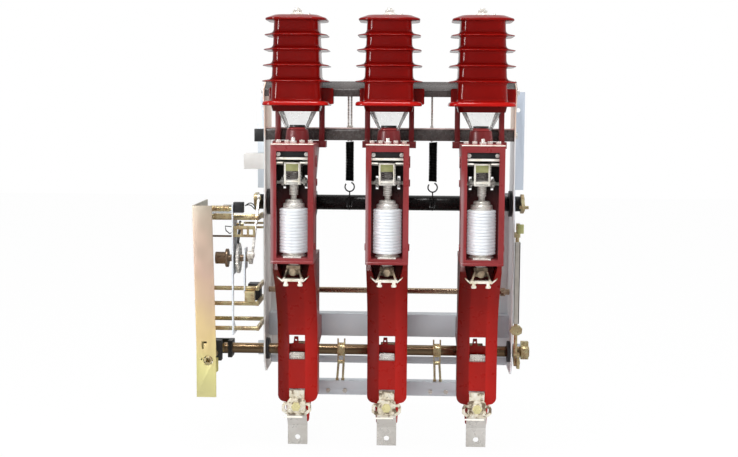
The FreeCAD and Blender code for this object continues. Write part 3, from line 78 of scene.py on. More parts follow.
def place_camera():
    """The photograph's viewpoint: a little right of the middle and above it, looking slightly down.
    The focal length is in pixels of the picture's width."""
    yaw, pitch, roll = CAMERA_TURN
    level = math.cos(pitch)
    ahead = np.array([-math.sin(yaw) * level, math.cos(yaw) * level, -math.sin(pitch)])
    right = np.array([math.cos(yaw), math.sin(yaw), 0.0])
    up = np.cross(right, ahead)
    side = math.cos(roll) * right + math.sin(roll) * up
    top = -math.sin(roll) * right + math.cos(roll) * up
    lens = bpy.data.cameras.new("camera")
    lens.sensor_width = SENSOR
    lens.lens = SENSOR * FOCAL_LENGTH / PICTURE_WIDTH
    lens.clip_start = 0.05
    lens.clip_end = 60.0
    camera = bpy.data.objects.new("camera", lens)
    bpy.context.collection.objects.link(camera)
    m = np.eye(4)
    m[:3, 0] = side
    m[:3, 1] = top
    m[:3, 2] = -ahead
    m[:3, 3] = CAMERA_AT
    camera.matrix_world = Matrix(m.tolist())
    bpy.context.scene.camera = camera


# Materials

class Finish:
    """A material with a Principled shader and short ways to add patterns on Object coordinates."""

    def __init__(self, name, colour, rough, metal=0.0, specular=0.5):
        self.mat = bpy.data.materials.new(name)
        self.mat.use_nodes = True
        self.tree = self.mat.node_tree
        self.bsdf = self.tree.nodes["Principled BSDF"]
        self.bsdf.inputs["Base Color"].default_value = (*colour, 1.0)
        self.bsdf.inputs["Roughness"].default_value = rough
        self.bsdf.inputs["Metallic"].default_value = metal
        self.bsdf.inputs["Specular IOR Level"].default_value = specular
        self.place = self.tree.nodes.new("ShaderNodeTexCoord").outputs["Object"]

    def stretch(self, scale):
        """Object coordinates stretched along the axes, for drawn or rolled grain."""
        node = self.tree.nodes.new("ShaderNodeMapping")
        node.inputs["Scale"].default_value = scale
        self.tree.links.new(self.place, node.inputs["Vector"])
        return node.outputs["Vector"]

    def noise(self, scale, detail=3.0, rough=0.5, place=None):
        """A noise pattern, from 0 to 1."""
        node = self.tree.nodes.new("ShaderNodeTexNoise")
        node.inputs["Scale"].default_value = scale
        node.inputs["Detail"].default_value = detail
        node.inputs["Roughness"].default_value = rough
        self.tree.links.new(place or self.place, node.inputs["Vector"])
        return node.outputs["Fac"]

    def ramp(self, value, stops):
        """Colours along a pattern, as (position, colour) stops."""
        node = self.tree.nodes.new("ShaderNodeValToRGB")
        marks = node.color_ramp.elements
        while len(marks) < len(stops):
            marks.new(0.5)
        for mark, (at, colour) in zip(marks, stops):
            mark.position = at
            mark.color = (*colour, 1.0)
        self.tree.links.new(value, node.inputs["Fac"])
        return node.outputs["Color"]

    def span(self, value, low, high):
        """A pattern spread from low to high."""
        node = self.tree.nodes.new("ShaderNodeMapRange")
        node.inputs["From Min"].default_value = 0.3
        node.inputs["From Max"].default_value = 0.7
        node.inputs["To Min"].default_value = low
        node.inputs["To Max"].default_value = high
        self.tree.links.new(value, node.inputs["Value"])
        return node.outputs["Result"]

    def levels(self, value, stops):
        """Grey levels along a pattern, as (position, level) stops."""
        return self.ramp(value, [(at, (level, level, level)) for at, level in stops])

    def along(self, axis):
        """The plain coordinate along X, Y or Z."""
        split = self.tree.nodes.new("ShaderNodeSeparateXYZ")
        self.tree.links.new(self.place, split.inputs["Vector"])
        return split.outputs[axis]

    def across(self):
        """The coordinate across one phase, zero in its middle."""
        return self.arithmetic(self.along("X"), "WRAP", HALF_PITCH, -HALF_PITCH)

    def height(self):
        """Height above the mounting centre, with a slow wander so that bands aren't level."""
        return self.arithmetic(self.along("Z"), "ADD", self.span(self.noise(7.0, 2.0), -0.05, 0.05))

    def above(self, axis, low, high):
        """Where the coordinate along an axis lies between low and high, from 0 to 1."""
        return self.share(self.along(axis), low, high)

    def arithmetic(self, value, operation, *more):
        """One step of arithmetic on a pattern, with numbers or other patterns."""
        node = self.tree.nodes.new("ShaderNodeMath")
        node.operation = operation
        self.tree.links.new(value, node.inputs[0])
        for i, other in enumerate(more, 1):
            if isinstance(other, (int, float)):
                node.inputs[i].default_value = other
            else:
                self.tree.links.new(other, node.inputs[i])
        return node.outputs["Value"]

    def both(self, first, *more):
        """Where all of several shares hold: their product."""
        for other in more:
            first = self.arithmetic(first, "MULTIPLY", other)
        return first

    def blend(self, a, b, factor=1.0, how="MIX"):
        """Two colours mixed or multiplied; each is a pattern or a plain colour."""
        node = self.tree.nodes.new("ShaderNodeMix")
        node.data_type = "RGBA"
        node.blend_type = how
        for name, value in (("A", a), ("B", b), ("Factor", factor)):
            if isinstance(value, tuple):
                node.inputs[name].default_value = (*value, 1.0)
            elif isinstance(value, float):
                node.inputs[name].default_value = value
            else:
                self.tree.links.new(value, node.inputs[name])
        return node.outputs["Result"]

    def shaded(self, colour, level):
        """A colour pattern made lighter or darker by a pattern of levels."""
        return self.blend(colour, level, 1.0, "MULTIPLY")

    def share(self, value, low, high):
        """Where a value lies between low and high, from 0 to 1."""
        node = self.tree.nodes.new("ShaderNodeMapRange")
        node.inputs["From Min"].default_value = low
        node.inputs["From Max"].default_value = high
        self.tree.links.new(value, node.inputs["Value"])
        return node.outputs["Result"]

    def colour(self, output):
        """Paint the surface with a colour pattern."""
        self.tree.links.new(output, self.bsdf.inputs["Base Color"])
        return self

    def roughness(self, output):
        """Vary how matt the surface is."""
        self.tree.links.new(output, self.bsdf.inputs["Roughness"])
        return self

    def bump(self, output, strength, distance):
        """Raise the surface by a pattern."""
        node = self.tree.nodes.new("ShaderNodeBump")
        node.inputs["Strength"].default_value = strength
        node.inputs["Distance"].default_value = distance
        self.tree.links.new(output, node.inputs["Height"])
        self.tree.links.new(node.outputs["Normal"], self.bsdf.inputs["Normal"])
        return self


def cast_red():
    """Glossy cast epoxy with slow tone changes and a faint orange peel, with light and shade painted in
    along
    the height: a painted shadow under the bushings' base flanges, a painted highlight on the flanges, and
    painted shade that makes it dimmer upward."""
    f = Finish("red_epoxy", (0.26, 0.005, 0.0035), 0.2, specular=0.25)
    cast = f.ramp(f.noise(9.0, 4.0, 0.6), [(0.3, (0.23, 0.0042, 0.003)), (0.55, (0.26, 0.005, 0.0035)),
                                          (0.75, (0.29, 0.0065, 0.0045))])
    # Painted light along the height: 0.28 for the painted shadow under the base flanges and everywhere below
    # them, a painted highlight on the flanges, then painted shade down to 0.64 at the top.
    level = f.levels(f.above("Z", -0.45, 0.55), [(0.74, 0.28), (0.7548, 0.28), (0.7558, 1.45),
                                                 (0.766, 1.3), (0.772, 0.8), (1.0, 0.64)])
    f.colour(f.shaded(cast, level))
    f.roughness(f.span(f.noise(60.0, 3.0), 0.09, 0.15))
    f.bump(f.noise(260.0, 2.0), 0.04, 0.0004)
    return f.mat


def insulator_red():
    """The lower insulators' red, with light and shade painted in: painted shade at the head and on the left
    facet, painted light on the right facet and toward the foot.
    """
    f = Finish("insulator_red_epoxy", (0.26, 0.005, 0.0035), 0.3, specular=0.25)
    cast = f.ramp(f.noise(9.0, 4.0, 0.6), [(0.3, (0.24, 0.0052, 0.0032)), (0.75, (0.28, 0.0078, 0.0048))])
    # Painted light along the height: painted shade toward the head, lighter toward the foot.
    level = f.levels(f.above("Z", -0.45, -0.04), [(0.1, 1.38), (0.5, 1.08), (0.75, 0.72), (1.0, 0.58)])
    # Painted light across each insulator: painted shade on the left facet, a painted highlight on the right
    # facet.
    facet = f.levels(f.share(f.across(), -0.0475, 0.0475), [(0.0, 0.5), (0.28, 0.66), (0.31, 0.98),
                                                            (0.69, 1.0), (0.72, 1.22), (1.0, 1.0)])
    f.colour(f.shaded(f.shaded(cast, level), facet))
    f.roughness(f.span(f.noise(60.0, 3.0), 0.26, 0.34))
    f.bump(f.noise(260.0, 2.0), 0.04, 0.0004)
    return f.mat


def cage_red():
    """The cages' red: the same epoxy with a mauve bloom on its faces, a greyer painted highlight along the
    front of the left edge low down, and painted shade near black inside the upper part, behind the front."""
    f = Finish("cage_red_epoxy", (0.24, 0.028, 0.030), 0.34, specular=0.35)
    bloom = f.ramp(f.noise(6.0, 4.0, 0.6), [(0.3, (0.17, 0.0145, 0.0155)), (0.55, (0.215, 0.026, 0.028)),
                                           (0.75, (0.24, 0.040, 0.045))])
    across = f.across()
    # Painted highlight: greyer mauve along the front of each cage's left edge, below the header.
    left = f.both(f.share(across, -0.040, -0.044), f.above("Z", 0.17, 0.12), f.above("Y", -0.314, -0.323))
    bloom = f.blend(bloom, (0.25, 0.135, 0.14), left)
    # Painted shade: inside each cage, between Z 0.13 and 0.217 and behind the front, the walls are painted
    # near black.
    inside = f.both(f.share(f.arithmetic(across, "ABSOLUTE"), 0.0425, 0.0418), f.above("Y", -0.322, -0.316))
    high = f.both(f.above("Z", 0.06, 0.13), f.above("Z", 0.2175, 0.2165))
    f.colour(f.blend(bloom, (0.02, 0.013, 0.012), f.both(inside, high)))
    f.roughness(f.span(f.noise(50.0, 3.0), 0.26, 0.4))
    f.bump(f.noise(300.0, 2.0), 0.08, 0.0003)
    return f.mat


def rolled_grey():
    """Zinc-coated sheet in blue grey with a rolled grain."""
    f = Finish("grey_zinc_sheet", (0.66, 0.71, 0.76), 0.38, metal=0.08)
    f.colour(f.ramp(f.noise(6.0, 5.0, 0.6), [(0.25, (0.60, 0.65, 0.70)), (0.5, (0.67, 0.72, 0.77)),
                                            (0.75, (0.74, 0.77, 0.80))]))
    f.roughness(f.span(f.noise(30.0, 4.0, 0.6, f.stretch((1.0, 1.0, 9.0))), 0.33, 0.5))
    f.bump(f.noise(500.0, 2.0), 0.08, 0.0002)
    return f.mat


def plate_sheet(name, side, outer, inner):
    """A side plate: zinc sheet outside, and painted light on the face toward the phases, given its own pale
    colour, with a painted warm reflection on its upper part."""
    f = Finish(name, outer, 0.38, metal=0.05)
    # Painted reflection: warm peach on the upper part of the face toward the phases.
    upper = (0.97, 0.77, 0.63)
    worn = tuple(1.12 * part for part in outer)
    sheet = f.ramp(f.noise(6.0, 5.0, 0.6), [(0.25, outer), (0.75, worn)])
    # Painted light: the face toward the phases in its pale inner colour, with the painted reflection above.
    toward = f.blend(inner, upper, f.above("Z", 0.225, 0.24))
    f.colour(f.blend(sheet, toward, f.above("X", side * PLATE_OUTSIDE, side * PLATE_INSIDE)))
    f.roughness(f.span(f.noise(30.0, 4.0, 0.6, f.stretch((1.0, 1.0, 9.0))), 0.33, 0.5))
    f.bump(f.noise(500.0, 2.0), 0.08, 0.0002)
    return f.mat


def dark_grey():
    """Dark grey coat with a fine grain, with a pale pink painted highlight along the middle beam's top edge.
    """
    f = Finish("dark_grey_coat", (0.11, 0.095, 0.088), 0.3, specular=0.7)
    coat = f.ramp(f.noise(8.0, 5.0, 0.6), [(0.3, (0.06, 0.05, 0.047)), (0.7, (0.12, 0.104, 0.098))])
    # Painted highlight: the middle beam's top edge is painted pale pink, where it catches the light.
    edge = f.both(f.above("Z", 0.2505, 0.2535), f.above("Z", 0.30, 0.29))
    f.colour(f.blend(coat, (0.96, 0.72, 0.68), edge))
    f.roughness(f.span(f.noise(90.0, 3.0), 0.2, 0.34))
    f.bump(f.noise(700.0, 2.0), 0.1, 0.0002)
    return f.mat


def gloss_black():
    """Black enamel with a soft shine."""
    f = Finish("black_enamel", (0.008, 0.007, 0.007), 0.25, specular=0.4)
    f.colour(f.ramp(f.noise(14.0, 3.0), [(0.3, (0.005, 0.0045, 0.0045)), (0.7, (0.011, 0.010, 0.010))]))
    f.roughness(f.span(f.noise(70.0, 3.0), 0.18, 0.34))
    f.bump(f.noise(400.0, 2.0), 0.08, 0.0002)
    return f.mat


def glazed_white():
    """White glazed ceramic with faint specks; a faint cool glow stands in for light in its shade, and
    painted light makes each body brighter on its left and a little at its right edge.
    """
    f = Finish("white_glaze", (0.80, 0.81, 0.83), 0.35)
    f.bsdf.inputs["Subsurface Weight"].default_value = 0.3
    f.bsdf.inputs["Subsurface Radius"].default_value = (1.0, 1.0, 1.0)
    f.bsdf.inputs["Subsurface Scale"].default_value = 0.008
    # Painted light: a faint cool glow, though the ceramic is no lamp, lifts its shaded sides.
    f.bsdf.inputs["Emission Color"].default_value = (0.9, 0.95, 1.0, 1.0)
    f.bsdf.inputs["Emission Strength"].default_value = 0.16
    f.bsdf.inputs["Sheen Weight"].default_value = 0.5
    f.bsdf.inputs["Sheen Roughness"].default_value = 0.4
    glaze = f.ramp(f.noise(25.0, 5.0, 0.7), [(0.3, (0.58, 0.60, 0.63)), (0.6, (0.62, 0.64, 0.66))])
    # Painted light across each body: brighter on its left, a little brighter at its right edge.
    level = f.levels(f.share(f.across(), -0.032, 0.032), [(0.0, 1.5), (0.22, 1.45), (0.45, 0.96),
                                                          (0.75, 0.96), (1.0, 1.15)])
    f.colour(f.shaded(glaze, level))
    f.roughness(f.span(f.noise(80.0, 2.0), 0.26, 0.42))
    return f.mat


def bright_nickel():
    """Bright silver-coloured plating with tool marks."""
    f = Finish("nickel_plate", (0.84, 0.82, 0.77), 0.25, metal=0.42)
    f.colour(f.ramp(f.noise(20.0, 4.0), [(0.3, (0.74, 0.70, 0.62)), (0.7, (0.90, 0.89, 0.86))]))
    f.roughness(f.span(f.noise(60.0, 3.0, 0.5, f.stretch((1.0, 1.0, 6.0))), 0.2, 0.34))
    f.bump(f.noise(300.0, 2.0), 0.03, 0.0001)
    return f.mat


def yellow_zinc():
    """Yellow passivated sheet: pale grey beige at the top, pink tan, cream, then olive at the foot."""
    f = Finish("yellow_zinc", (0.60, 0.50, 0.33), 0.38, metal=0.25)
    bands = f.share(f.height(), -0.37, 0.10)
    f.colour(f.ramp(bands, [(0.0, (0.58, 0.54, 0.25)), (0.14, (0.64, 0.60, 0.255)),
                            (0.38, (0.69, 0.53, 0.255)), (0.66, (0.51, 0.355, 0.275)),
                            (0.83, (0.345, 0.29, 0.225)), (1.0, (0.33, 0.33, 0.25))]))
    f.roughness(f.span(f.noise(40.0, 5.0, 0.6), 0.3, 0.48))
    f.bump(f.noise(600.0, 2.0), 0.06, 0.0002)
    return f.mat


def gold_zinc():
    """Golden passivated small parts, patchy from pink brown to lemon."""
    f = Finish("gold_zinc", (0.62, 0.48, 0.26), 0.3, metal=0.75)
    f.colour(f.ramp(f.noise(55.0, 4.0, 0.6), [(0.28, (0.42, 0.27, 0.16)), (0.45, (0.66, 0.50, 0.28)),
                                             (0.6, (0.74, 0.66, 0.38)), (0.75, (0.62, 0.44, 0.33))]))
    f.roughness(f.span(f.noise(120.0, 3.0), 0.22, 0.4))
    f.bump(f.noise(700.0, 2.0), 0.08, 0.0001)
    return f.mat


def brown_brass():
    """Brown brass bar with brighter streaks along it."""
    f = Finish("brown_brass", (0.42, 0.29, 0.17), 0.22, metal=1.0)
    f.colour(f.ramp(f.noise(30.0, 4.0, 0.6, f.stretch((0.3, 1.0, 1.0))),
                    [(0.3, (0.36, 0.235, 0.13)), (0.55, (0.44, 0.305, 0.18)), (0.75, (0.52, 0.39, 0.25))]))
    f.roughness(f.span(f.noise(100.0, 3.0), 0.17, 0.28))
    f.bump(f.noise(800.0, 2.0), 0.06, 0.0001)
    return f.mat


def pale_brass():
    """Paler brass of the thin rod between the side plates."""
    f = Finish("pale_brass", (0.62, 0.47, 0.33), 0.25, metal=0.9)
    f.colour(f.ramp(f.noise(40.0, 4.0, 0.6, f.stretch((0.3, 1.0, 1.0))),
                    [(0.3, (0.52, 0.38, 0.26)), (0.7, (0.72, 0.56, 0.40))]))
    f.roughness(f.span(f.noise(100.0, 3.0), 0.2, 0.32))
    return f.mat


def cream_plating():
    """Cream plating on the small parts of the cages, with the top plates red behind their front edge."""
    f = Finish("cream_plating", (0.86, 0.81, 0.68), 0.35, metal=0.1)
    cream = f.ramp(f.noise(45.0, 3.0), [(0.3, (0.78, 0.72, 0.58)), (0.55, (0.95, 0.92, 0.84))])
    top = f.both(f.above("Z", 0.2170, 0.2175), f.above("Y", -0.3262, -0.3255))
    f.colour(f.blend(cream, (0.42, 0.055, 0.055), top))
    f.roughness(f.span(f.noise(120.0, 3.0), 0.26, 0.42))
    return f.mat


def clamp_plating():
    """Nickel pads with a yellow cast on the clamp above them."""
    f = Finish("clamp_plating", (0.84, 0.82, 0.77), 0.25, metal=0.25)
    bright = f.ramp(f.noise(20.0, 4.0), [(0.3, (0.56, 0.54, 0.50)), (0.7, (0.66, 0.64, 0.61))])
    yellow = f.ramp(f.noise(75.0, 3.0), [(0.38, (0.20, 0.15, 0.10)), (0.46, (0.74, 0.67, 0.52)),
                                         (0.7, (0.90, 0.88, 0.80))])
    yellow = f.blend(yellow, (0.68, 0.62, 0.32), f.above("Y", -0.2275, -0.2285))
    f.colour(f.blend(bright, yellow, f.above("Z", -0.418, -0.412)))
    f.roughness(f.span(f.noise(60.0, 3.0), 0.24, 0.36))
    return f.mat


def contact_plating():
    """Cream plating on the lower contacts' front rail, brown and dark on the clamp behind it."""
    f = Finish("contact_plating", (0.84, 0.80, 0.68), 0.3, metal=0.2)
    cream = f.ramp(f.noise(60.0, 3.0), [(0.3, (0.66, 0.59, 0.42)), (0.5, (0.92, 0.88, 0.78))])
    brown = f.ramp(f.noise(45.0, 3.0), [(0.35, (0.05, 0.03, 0.02)), (0.6, (0.42, 0.33, 0.22))])
    f.colour(f.blend(brown, cream, f.above("Z", -0.0765, -0.079)))
    f.roughness(f.span(f.noise(90.0, 3.0), 0.24, 0.4))
    return f.mat


def milky_clear():
    """Milky see-through plastic."""
    f = Finish("milky_plastic", (0.93, 0.93, 0.92), 0.3, specular=0.2)
    f.bsdf.inputs["Transmission Weight"].default_value = 0.9
    f.bsdf.inputs["IOR"].default_value = 1.02
    f.roughness(f.span(f.noise(40.0, 3.0), 0.2, 0.36))
    return f.mat


def plain(name, dark, light, rough, metal=0.0, specular=0.5):
    """A plain finish between two shades."""
    f = Finish(name, dark, rough, metal, specular)
    f.colour(f.ramp(f.noise(50.0, 3.0), [(0.3, dark), (0.7, light)]))
    f.roughness(f.span(f.noise(110.0, 3.0), 0.8 * rough, 1.2 * rough))
    return f.mat


def smoked_clear():
    """Slightly milky clear plastic."""
    f = Finish("clear_plastic", (0.86, 0.87, 0.86), 0.14)
    f.bsdf.inputs["Transmission Weight"].default_value = 0.75
    f.bsdf.inputs["IOR"].default_value = 1.3
    f.roughness(f.span(f.noise(40.0, 3.0), 0.1, 0.26))
    f.bump(f.noise(90.0, 2.0), 0.08, 0.0004)
    return f.mat


def moulded(name, dark, light):
    """Moulded plastic with a fine grain."""
    f = Finish(name, dark, 0.4)
    f.colour(f.ramp(f.noise(18.0, 3.0), [(0.3, dark), (0.7, light)]))
    f.roughness(f.span(f.noise(120.0, 3.0), 0.32, 0.5))
    f.bump(f.noise(900.0, 2.0), 0.15, 0.0002)
    return f.mat


FINISHES = {
    "red_epoxy": cast_red(),
    "grey_paint": rolled_grey(),
    "dark_grey_paint": dark_grey(),
    "black_paint": gloss_black(),
    "white_ceramic": glazed_white(),
    "nickel": bright_nickel(),
    "yellow_zinc": yellow_zinc(),
    "gold_zinc": gold_zinc(),
    "brass": brown_brass(),
    "clear_shield": smoked_clear(),
    "black_plastic": moulded("black_plastic", (0.016, 0.016, 0.017), (0.028, 0.028, 0.03)),
    "white_plastic": moulded("white_plastic", (0.70, 0.69, 0.66), (0.80, 0.79, 0.77)),
}


def node_finishes():
    """Finishes of single nodes that differ from their slot's, by the start of the node's name."""
    mauve = cage_red()
    return {
        "cage_bars": cream_plating(),
        "cage_": mauve,
        "guide_cups": mauve,
        "tie_rod": pale_brass(),
        "lower_terminals": clamp_plating(),
        "lower_insulator": insulator_red(),
        "lower_contacts": contact_plating(),
        "mech_hub": plain("hub_bronze", (0.26, 0.17, 0.11), (0.34, 0.24, 0.16), 0.3, 0.6),
        # The last colour of each side plate is painted light on its face toward the phases.
        "side_plate_left": plate_sheet("left_plate_sheet", -1, (0.62, 0.67, 0.72), (0.98, 0.96, 0.92)),
        "side_plate_right": plate_sheet("right_plate_sheet", 1, (0.44, 0.48, 0.54), (0.97, 0.98, 1.0)),
        "balance_springs": plain("spring_black", (0.002, 0.002, 0.002), (0.004, 0.004, 0.004), 0.5,
                                 specular=0.12),
        "olive_plate": plain("olive_zinc", (0.30, 0.31, 0.12), (0.42, 0.42, 0.20), 0.4, 0.2),
        "link_bar": plain("beige_plate", (0.36, 0.34, 0.30), (0.46, 0.44, 0.40), 0.35, 0.2),
        "milky": milky_clear(),
    }


NODE_FINISHES = node_finishes()


# The CAD's own nodes

def soften(node, width):
    """Finish a CAD node: join its triangles, drop flat edges, round the rest by width."""
    obj = nodes[node]
    weld = obj.modifiers.new("join", "WELD")
    weld.merge_threshold = 1e-5
    flat = obj.modifiers.new("flat", "DECIMATE")
    flat.decimate_type = "DISSOLVE"
    flat.angle_limit = math.radians(0.6)
    edge = obj.modifiers.new("edge", "BEVEL")
    edge.width = width * MM
    edge.segments = 2
    edge.limit_method = "ANGLE"
    edge.angle_limit = math.radians(34)
    edge.harden_normals = True
    obj.data.polygons.foreach_set("use_smooth", np.ones(len(obj.data.polygons), bool))


def dress_nodes():
    """Give every CAD node its finish, and rounded edges of a size that suits it."""
    slots = {part["node"]: part["material_slot"] for part in frame["record"]["subparts"]}
    widths = {"cage": 1.8, "lower_insulator": 2.2, "side_plate": 0.6, "top_beam": 1.2, "middle_beam": 1.2,
              "lower_beam": 1.2, "bottom_beam": 1.0, "mech_panel": 0.8, "rocker": 0.7, "lever_arms": 0.9}
    for name, obj in nodes.items():
        own = next((mat for key, mat in NODE_FINISHES.items() if name.startswith(key)), None)
        obj.data.materials.clear()
        obj.data.materials.append(own or FINISHES[slots[name]])
        width = next((w for key, w in widths.items() if name.startswith(key)), 0.4)
        soften(name, width)


# Surfaces

def eased(profile, reach, steps=3):
    """A run of points with its corners eased: each corner C between points A and B on its two runs,
    reach away from it, becomes the curve (1-t)^2 A + 2t(1-t) C + t^2 B."""
    p = np.asarray(profile, float)
    gap = np.linalg.norm(np.diff(p[:, :2], axis=0), axis=1)
    back = np.minimum(reach, 0.45 * gap[:-1]) / np.maximum(gap[:-1], 1e-9)
    on = np.minimum(reach, 0.45 * gap[1:]) / np.maximum(gap[1:], 1e-9)
    c = p[1:-1]
    a = c + (p[:-2] - c) * back[:, None]
    b = c + (p[2:] - c) * on[:, None]
    t = np.linspace(0.0, 1.0, steps + 1)[None, :, None]
    curve = (1 - t) ** 2 * a[:, None] + 2 * t * (1 - t) * c[:, None] + t ** 2 * b[:, None]
    return np.vstack([p[:1], curve.reshape(-1, p.shape[1]), p[-1:]])


def ring_grid(profile, x, y, around=48):
    """A profile of (radius, height) turned about a vertical line: (x + r cos a, y + r sin a, z)."""
    p = np.asarray(profile, float)
    a = np.linspace(0.0, 2 * np.pi, around, endpoint=False)
    r = p[:, :1]
    z = np.repeat(p[:, 1:2], around, axis=1)
    return np.stack([x + r * np.cos(a), y + r * np.sin(a), z], axis=-1), False, True


def square_grid(rows, x, y, corner=7):
    """Rows of (half width, height, corner radius): a square with rounded corners at each height.
    A corner's points are (h - r) s + r (cos a, sin a), with s its signs and a over its quarter."""
    p = np.asarray(rows, float)
    quarter = np.linspace(0.0, np.pi / 2, corner)
    a = (np.arange(4)[:, None] * np.pi / 2 + quarter[None, :]).ravel()
    sx = np.repeat([1.0, -1.0, -1.0, 1.0], corner)
    sy = np.repeat([1.0, 1.0, -1.0, -1.0], corner)
    h = p[:, :1]
    r = np.minimum(p[:, 2:3], h)
    px = x + (h - r) * sx + r * np.cos(a)
    py = y + (h - r) * sy + r * np.sin(a)
    return np.stack([px, py, np.repeat(p[:, 1:2], len(a), axis=1)], axis=-1), False, True


def tube_grid(path, radius, around=10, closed=False):
    """A round wire along a path: path + r (cos a N + sin a B), N and B square to the run."""
    p = np.asarray(path, float)
    run = np.roll(p, -1, axis=0) - np.roll(p, 1, axis=0)
    if not closed:
        run[0] = p[1] - p[0]
        run[-1] = p[-1] - p[-2]
    run /= np.linalg.norm(run, axis=1)[:, None]
    spread = p - p.mean(axis=0)
    guide = np.linalg.svd(spread)[2][2] if closed else np.array([0.31, 0.17, 0.93])
    n = np.cross(run, guide)
    n /= np.linalg.norm(n, axis=1)[:, None]
    b = np.cross(run, n)
    a = np.linspace(0.0, 2 * np.pi, around, endpoint=False)
    r = np.broadcast_to(np.asarray(radius, float), (len(p),))[:, None, None]
    ring = np.cos(a)[None, :, None] * n[:, None] + np.sin(a)[None, :, None] * b[:, None]
    grid = p[:, None] + r * ring
    if not closed:
        grid = np.concatenate([np.repeat(p[:1, None], around, axis=1), grid,
                               np.repeat(p[-1:, None], around, axis=1)])
    return grid, closed, True


def slab_grid(low, high, ease=0.5, run=2):
    """A block with eased edges. Its outline is a rectangle with corners of radius e, the points
    m + s (h - e) + e (cos a, sin a); along the run it starts and ends smaller by e, and closes on
    the middle of each end."""
    order = [(1, 2, 0), (2, 0, 1), (0, 1, 2)][run]
    lo = np.asarray(low, float)[list(order)]
    hi = np.asarray(high, float)[list(order)]
    mid = (lo + hi) / 2
    half = (hi - lo) / 2
    e = min(ease, 0.45 * half[:2].min())
    a = (np.arange(4)[:, None] * np.pi / 2 + np.linspace(0.0, np.pi / 2, 4)[None, :]).ravel()
    sx = np.repeat([1.0, -1.0, -1.0, 1.0], 4)
    sy = np.repeat([1.0, 1.0, -1.0, -1.0], 4)
    keep = np.array([0.0, 1.0, 1.0, 1.0, 1.0, 0.0])[:, None]
    bend = e * np.array([0.0, 0.0, 1.0, 1.0, 0.0, 0.0])[:, None]
    step = np.array([lo[2], lo[2], lo[2] + e, hi[2] - e, hi[2], hi[2]])
    u = mid[0] + keep * (sx * (half[0] - e) + bend * np.cos(a))
    v = mid[1] + keep * (sy * (half[1] - e) + bend * np.sin(a))
    w = np.repeat(step[:, None], len(a), axis=1)
    grid = np.stack([u, v, w], axis=-1)
    return grid[..., np.argsort(order)], False, True


def piece(name, sheets, slot, body, crease=40, stands_for=(), finish=None):
    """One mesh from grids of points in millimetres: each cell of a grid is a face, a grid closes on
    itself where it is wrapped, and doubled points at the poles are joined."""
    points = []
    faces = []
    base = 0
    for grid, wrap_u, wrap_v in sheets:
        nu, nv = grid.shape[:2]
        index = base + np.arange(nu * nv).reshape(nu, nv)
        if wrap_u:
            index = np.vstack([index, index[:1]])
        if wrap_v:
            index = np.hstack([index, index[:, :1]])
        cells = np.stack([index[:-1, :-1], index[:-1, 1:], index[1:, 1:], index[1:, :-1]], axis=-1)
        faces.append(cells.reshape(-1, 4))
        points.append(grid.reshape(-1, 3))
        base += nu * nv
    mesh = bpy.data.meshes.new(name)
    mesh.from_pydata(np.vstack(points) * MM, [], np.vstack(faces).tolist())
    work = bmesh.new()
    work.from_mesh(mesh)
    bmesh.ops.remove_doubles(work, verts=work.verts, dist=1e-6)
    bmesh.ops.dissolve_degenerate(work, edges=work.edges, dist=1e-7)
    bmesh.ops.recalc_face_normals(work, faces=work.faces)
    work.to_mesh(mesh)
    work.free()
    mesh.polygons.foreach_set("use_smooth", np.ones(len(mesh.polygons), bool))
    mesh.set_sharp_from_angle(angle=math.radians(crease))
    mesh.materials.append(NODE_FINISHES[finish] if finish else FINISHES[slot])
    obj = bpy.data.objects.new(name, mesh)
    bpy.context.collection.objects.link(obj)
    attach(obj, body)
    if stands_for:
        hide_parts(*stands_for)
    return obj


# Cast and ceramic pieces

def bushing_rows():
    """Profile of the bushing as (half width, height, corner radius): bore, socket, base flange, then
    four thin sheds with a hollow curve above and below, on a body that narrows evenly, and the cap."""
    rows = [(0.1, 475.5, 0.1), (37.9, 475.5, 37.9), (38.0, 292.0, 38.0), (53.0, 292.0, 20.0),
            (56.0, 305.0, 20.0), (73.0, 305.0, 26.0), (75.0, 306.6, 26.0), (74.6, 310.8, 26.0),
            (72.6, 314.0, 25.0), (69.0, 315.2, 24.0), (60.0, 316.2, 21.0), (57.6, 318.4, 20.0),
            (56.4, 323.0, 20.0)]
    for i, z in enumerate((358.4, 393.6, 428.8, 461.8)):
        wide = 76.5 - 5.5 * i / 3
        root = 56.5 - 6.5 * (z - 315.0) / 180.5
        rows += [(root + 0.1, z - 4.0, 20.0), (root + 1.4, z - 0.6, 20.6), (root + 5.0, z + 0.4, 23.0),
                 (wide - 3.0, z + 0.5, 34.0), (wide - 1.0, z, 36.0), (wide, z + 0.7, 36.0),
                 (wide - 0.1, z + 1.7, 36.0), (wide - 1.4, z + 2.5, 35.0), (wide - 10.0, z + 4.4, 29.0),
                 (root + 4.2, z + 6.2, 22.4), (root + 1.2, z + 8.6, 20.6), (root - 0.4, z + 13.0, 20.0)]
    rows += [(50.0, 495.0, 20.0), (67.5, 495.7, 34.0), (69.0, 497.0, 34.0), (69.0, 500.0, 34.0),
             (67.0, 501.3, 33.0), (49.0, 508.0, 20.0), (12.6, 508.4, 12.6), (12.0, 500.0, 12.0),
             (12.0, 478.0, 12.0), (0.1, 478.0, 0.1)]
    return eased(rows, 1.3, 3)


SHOULDER_HALF = 74.5
SHOULDER_SHIFT = 6.0
SHOULDER_FRONT = -178.0
SHOULDER_BACK = -142.3


def shoulder_rows():
    """Rear shoulder that seats on the top beam: a block eased at its edges."""
    half = SHOULDER_HALF
    return [(0.1, 309.0, 0.1), (half - 2.0, 309.0, 7.0), (half, 311.0, 8.0), (half, 344.0, 8.0),
            (half - 2.0, 346.0, 7.0), (0.1, 346.0, 0.1)]


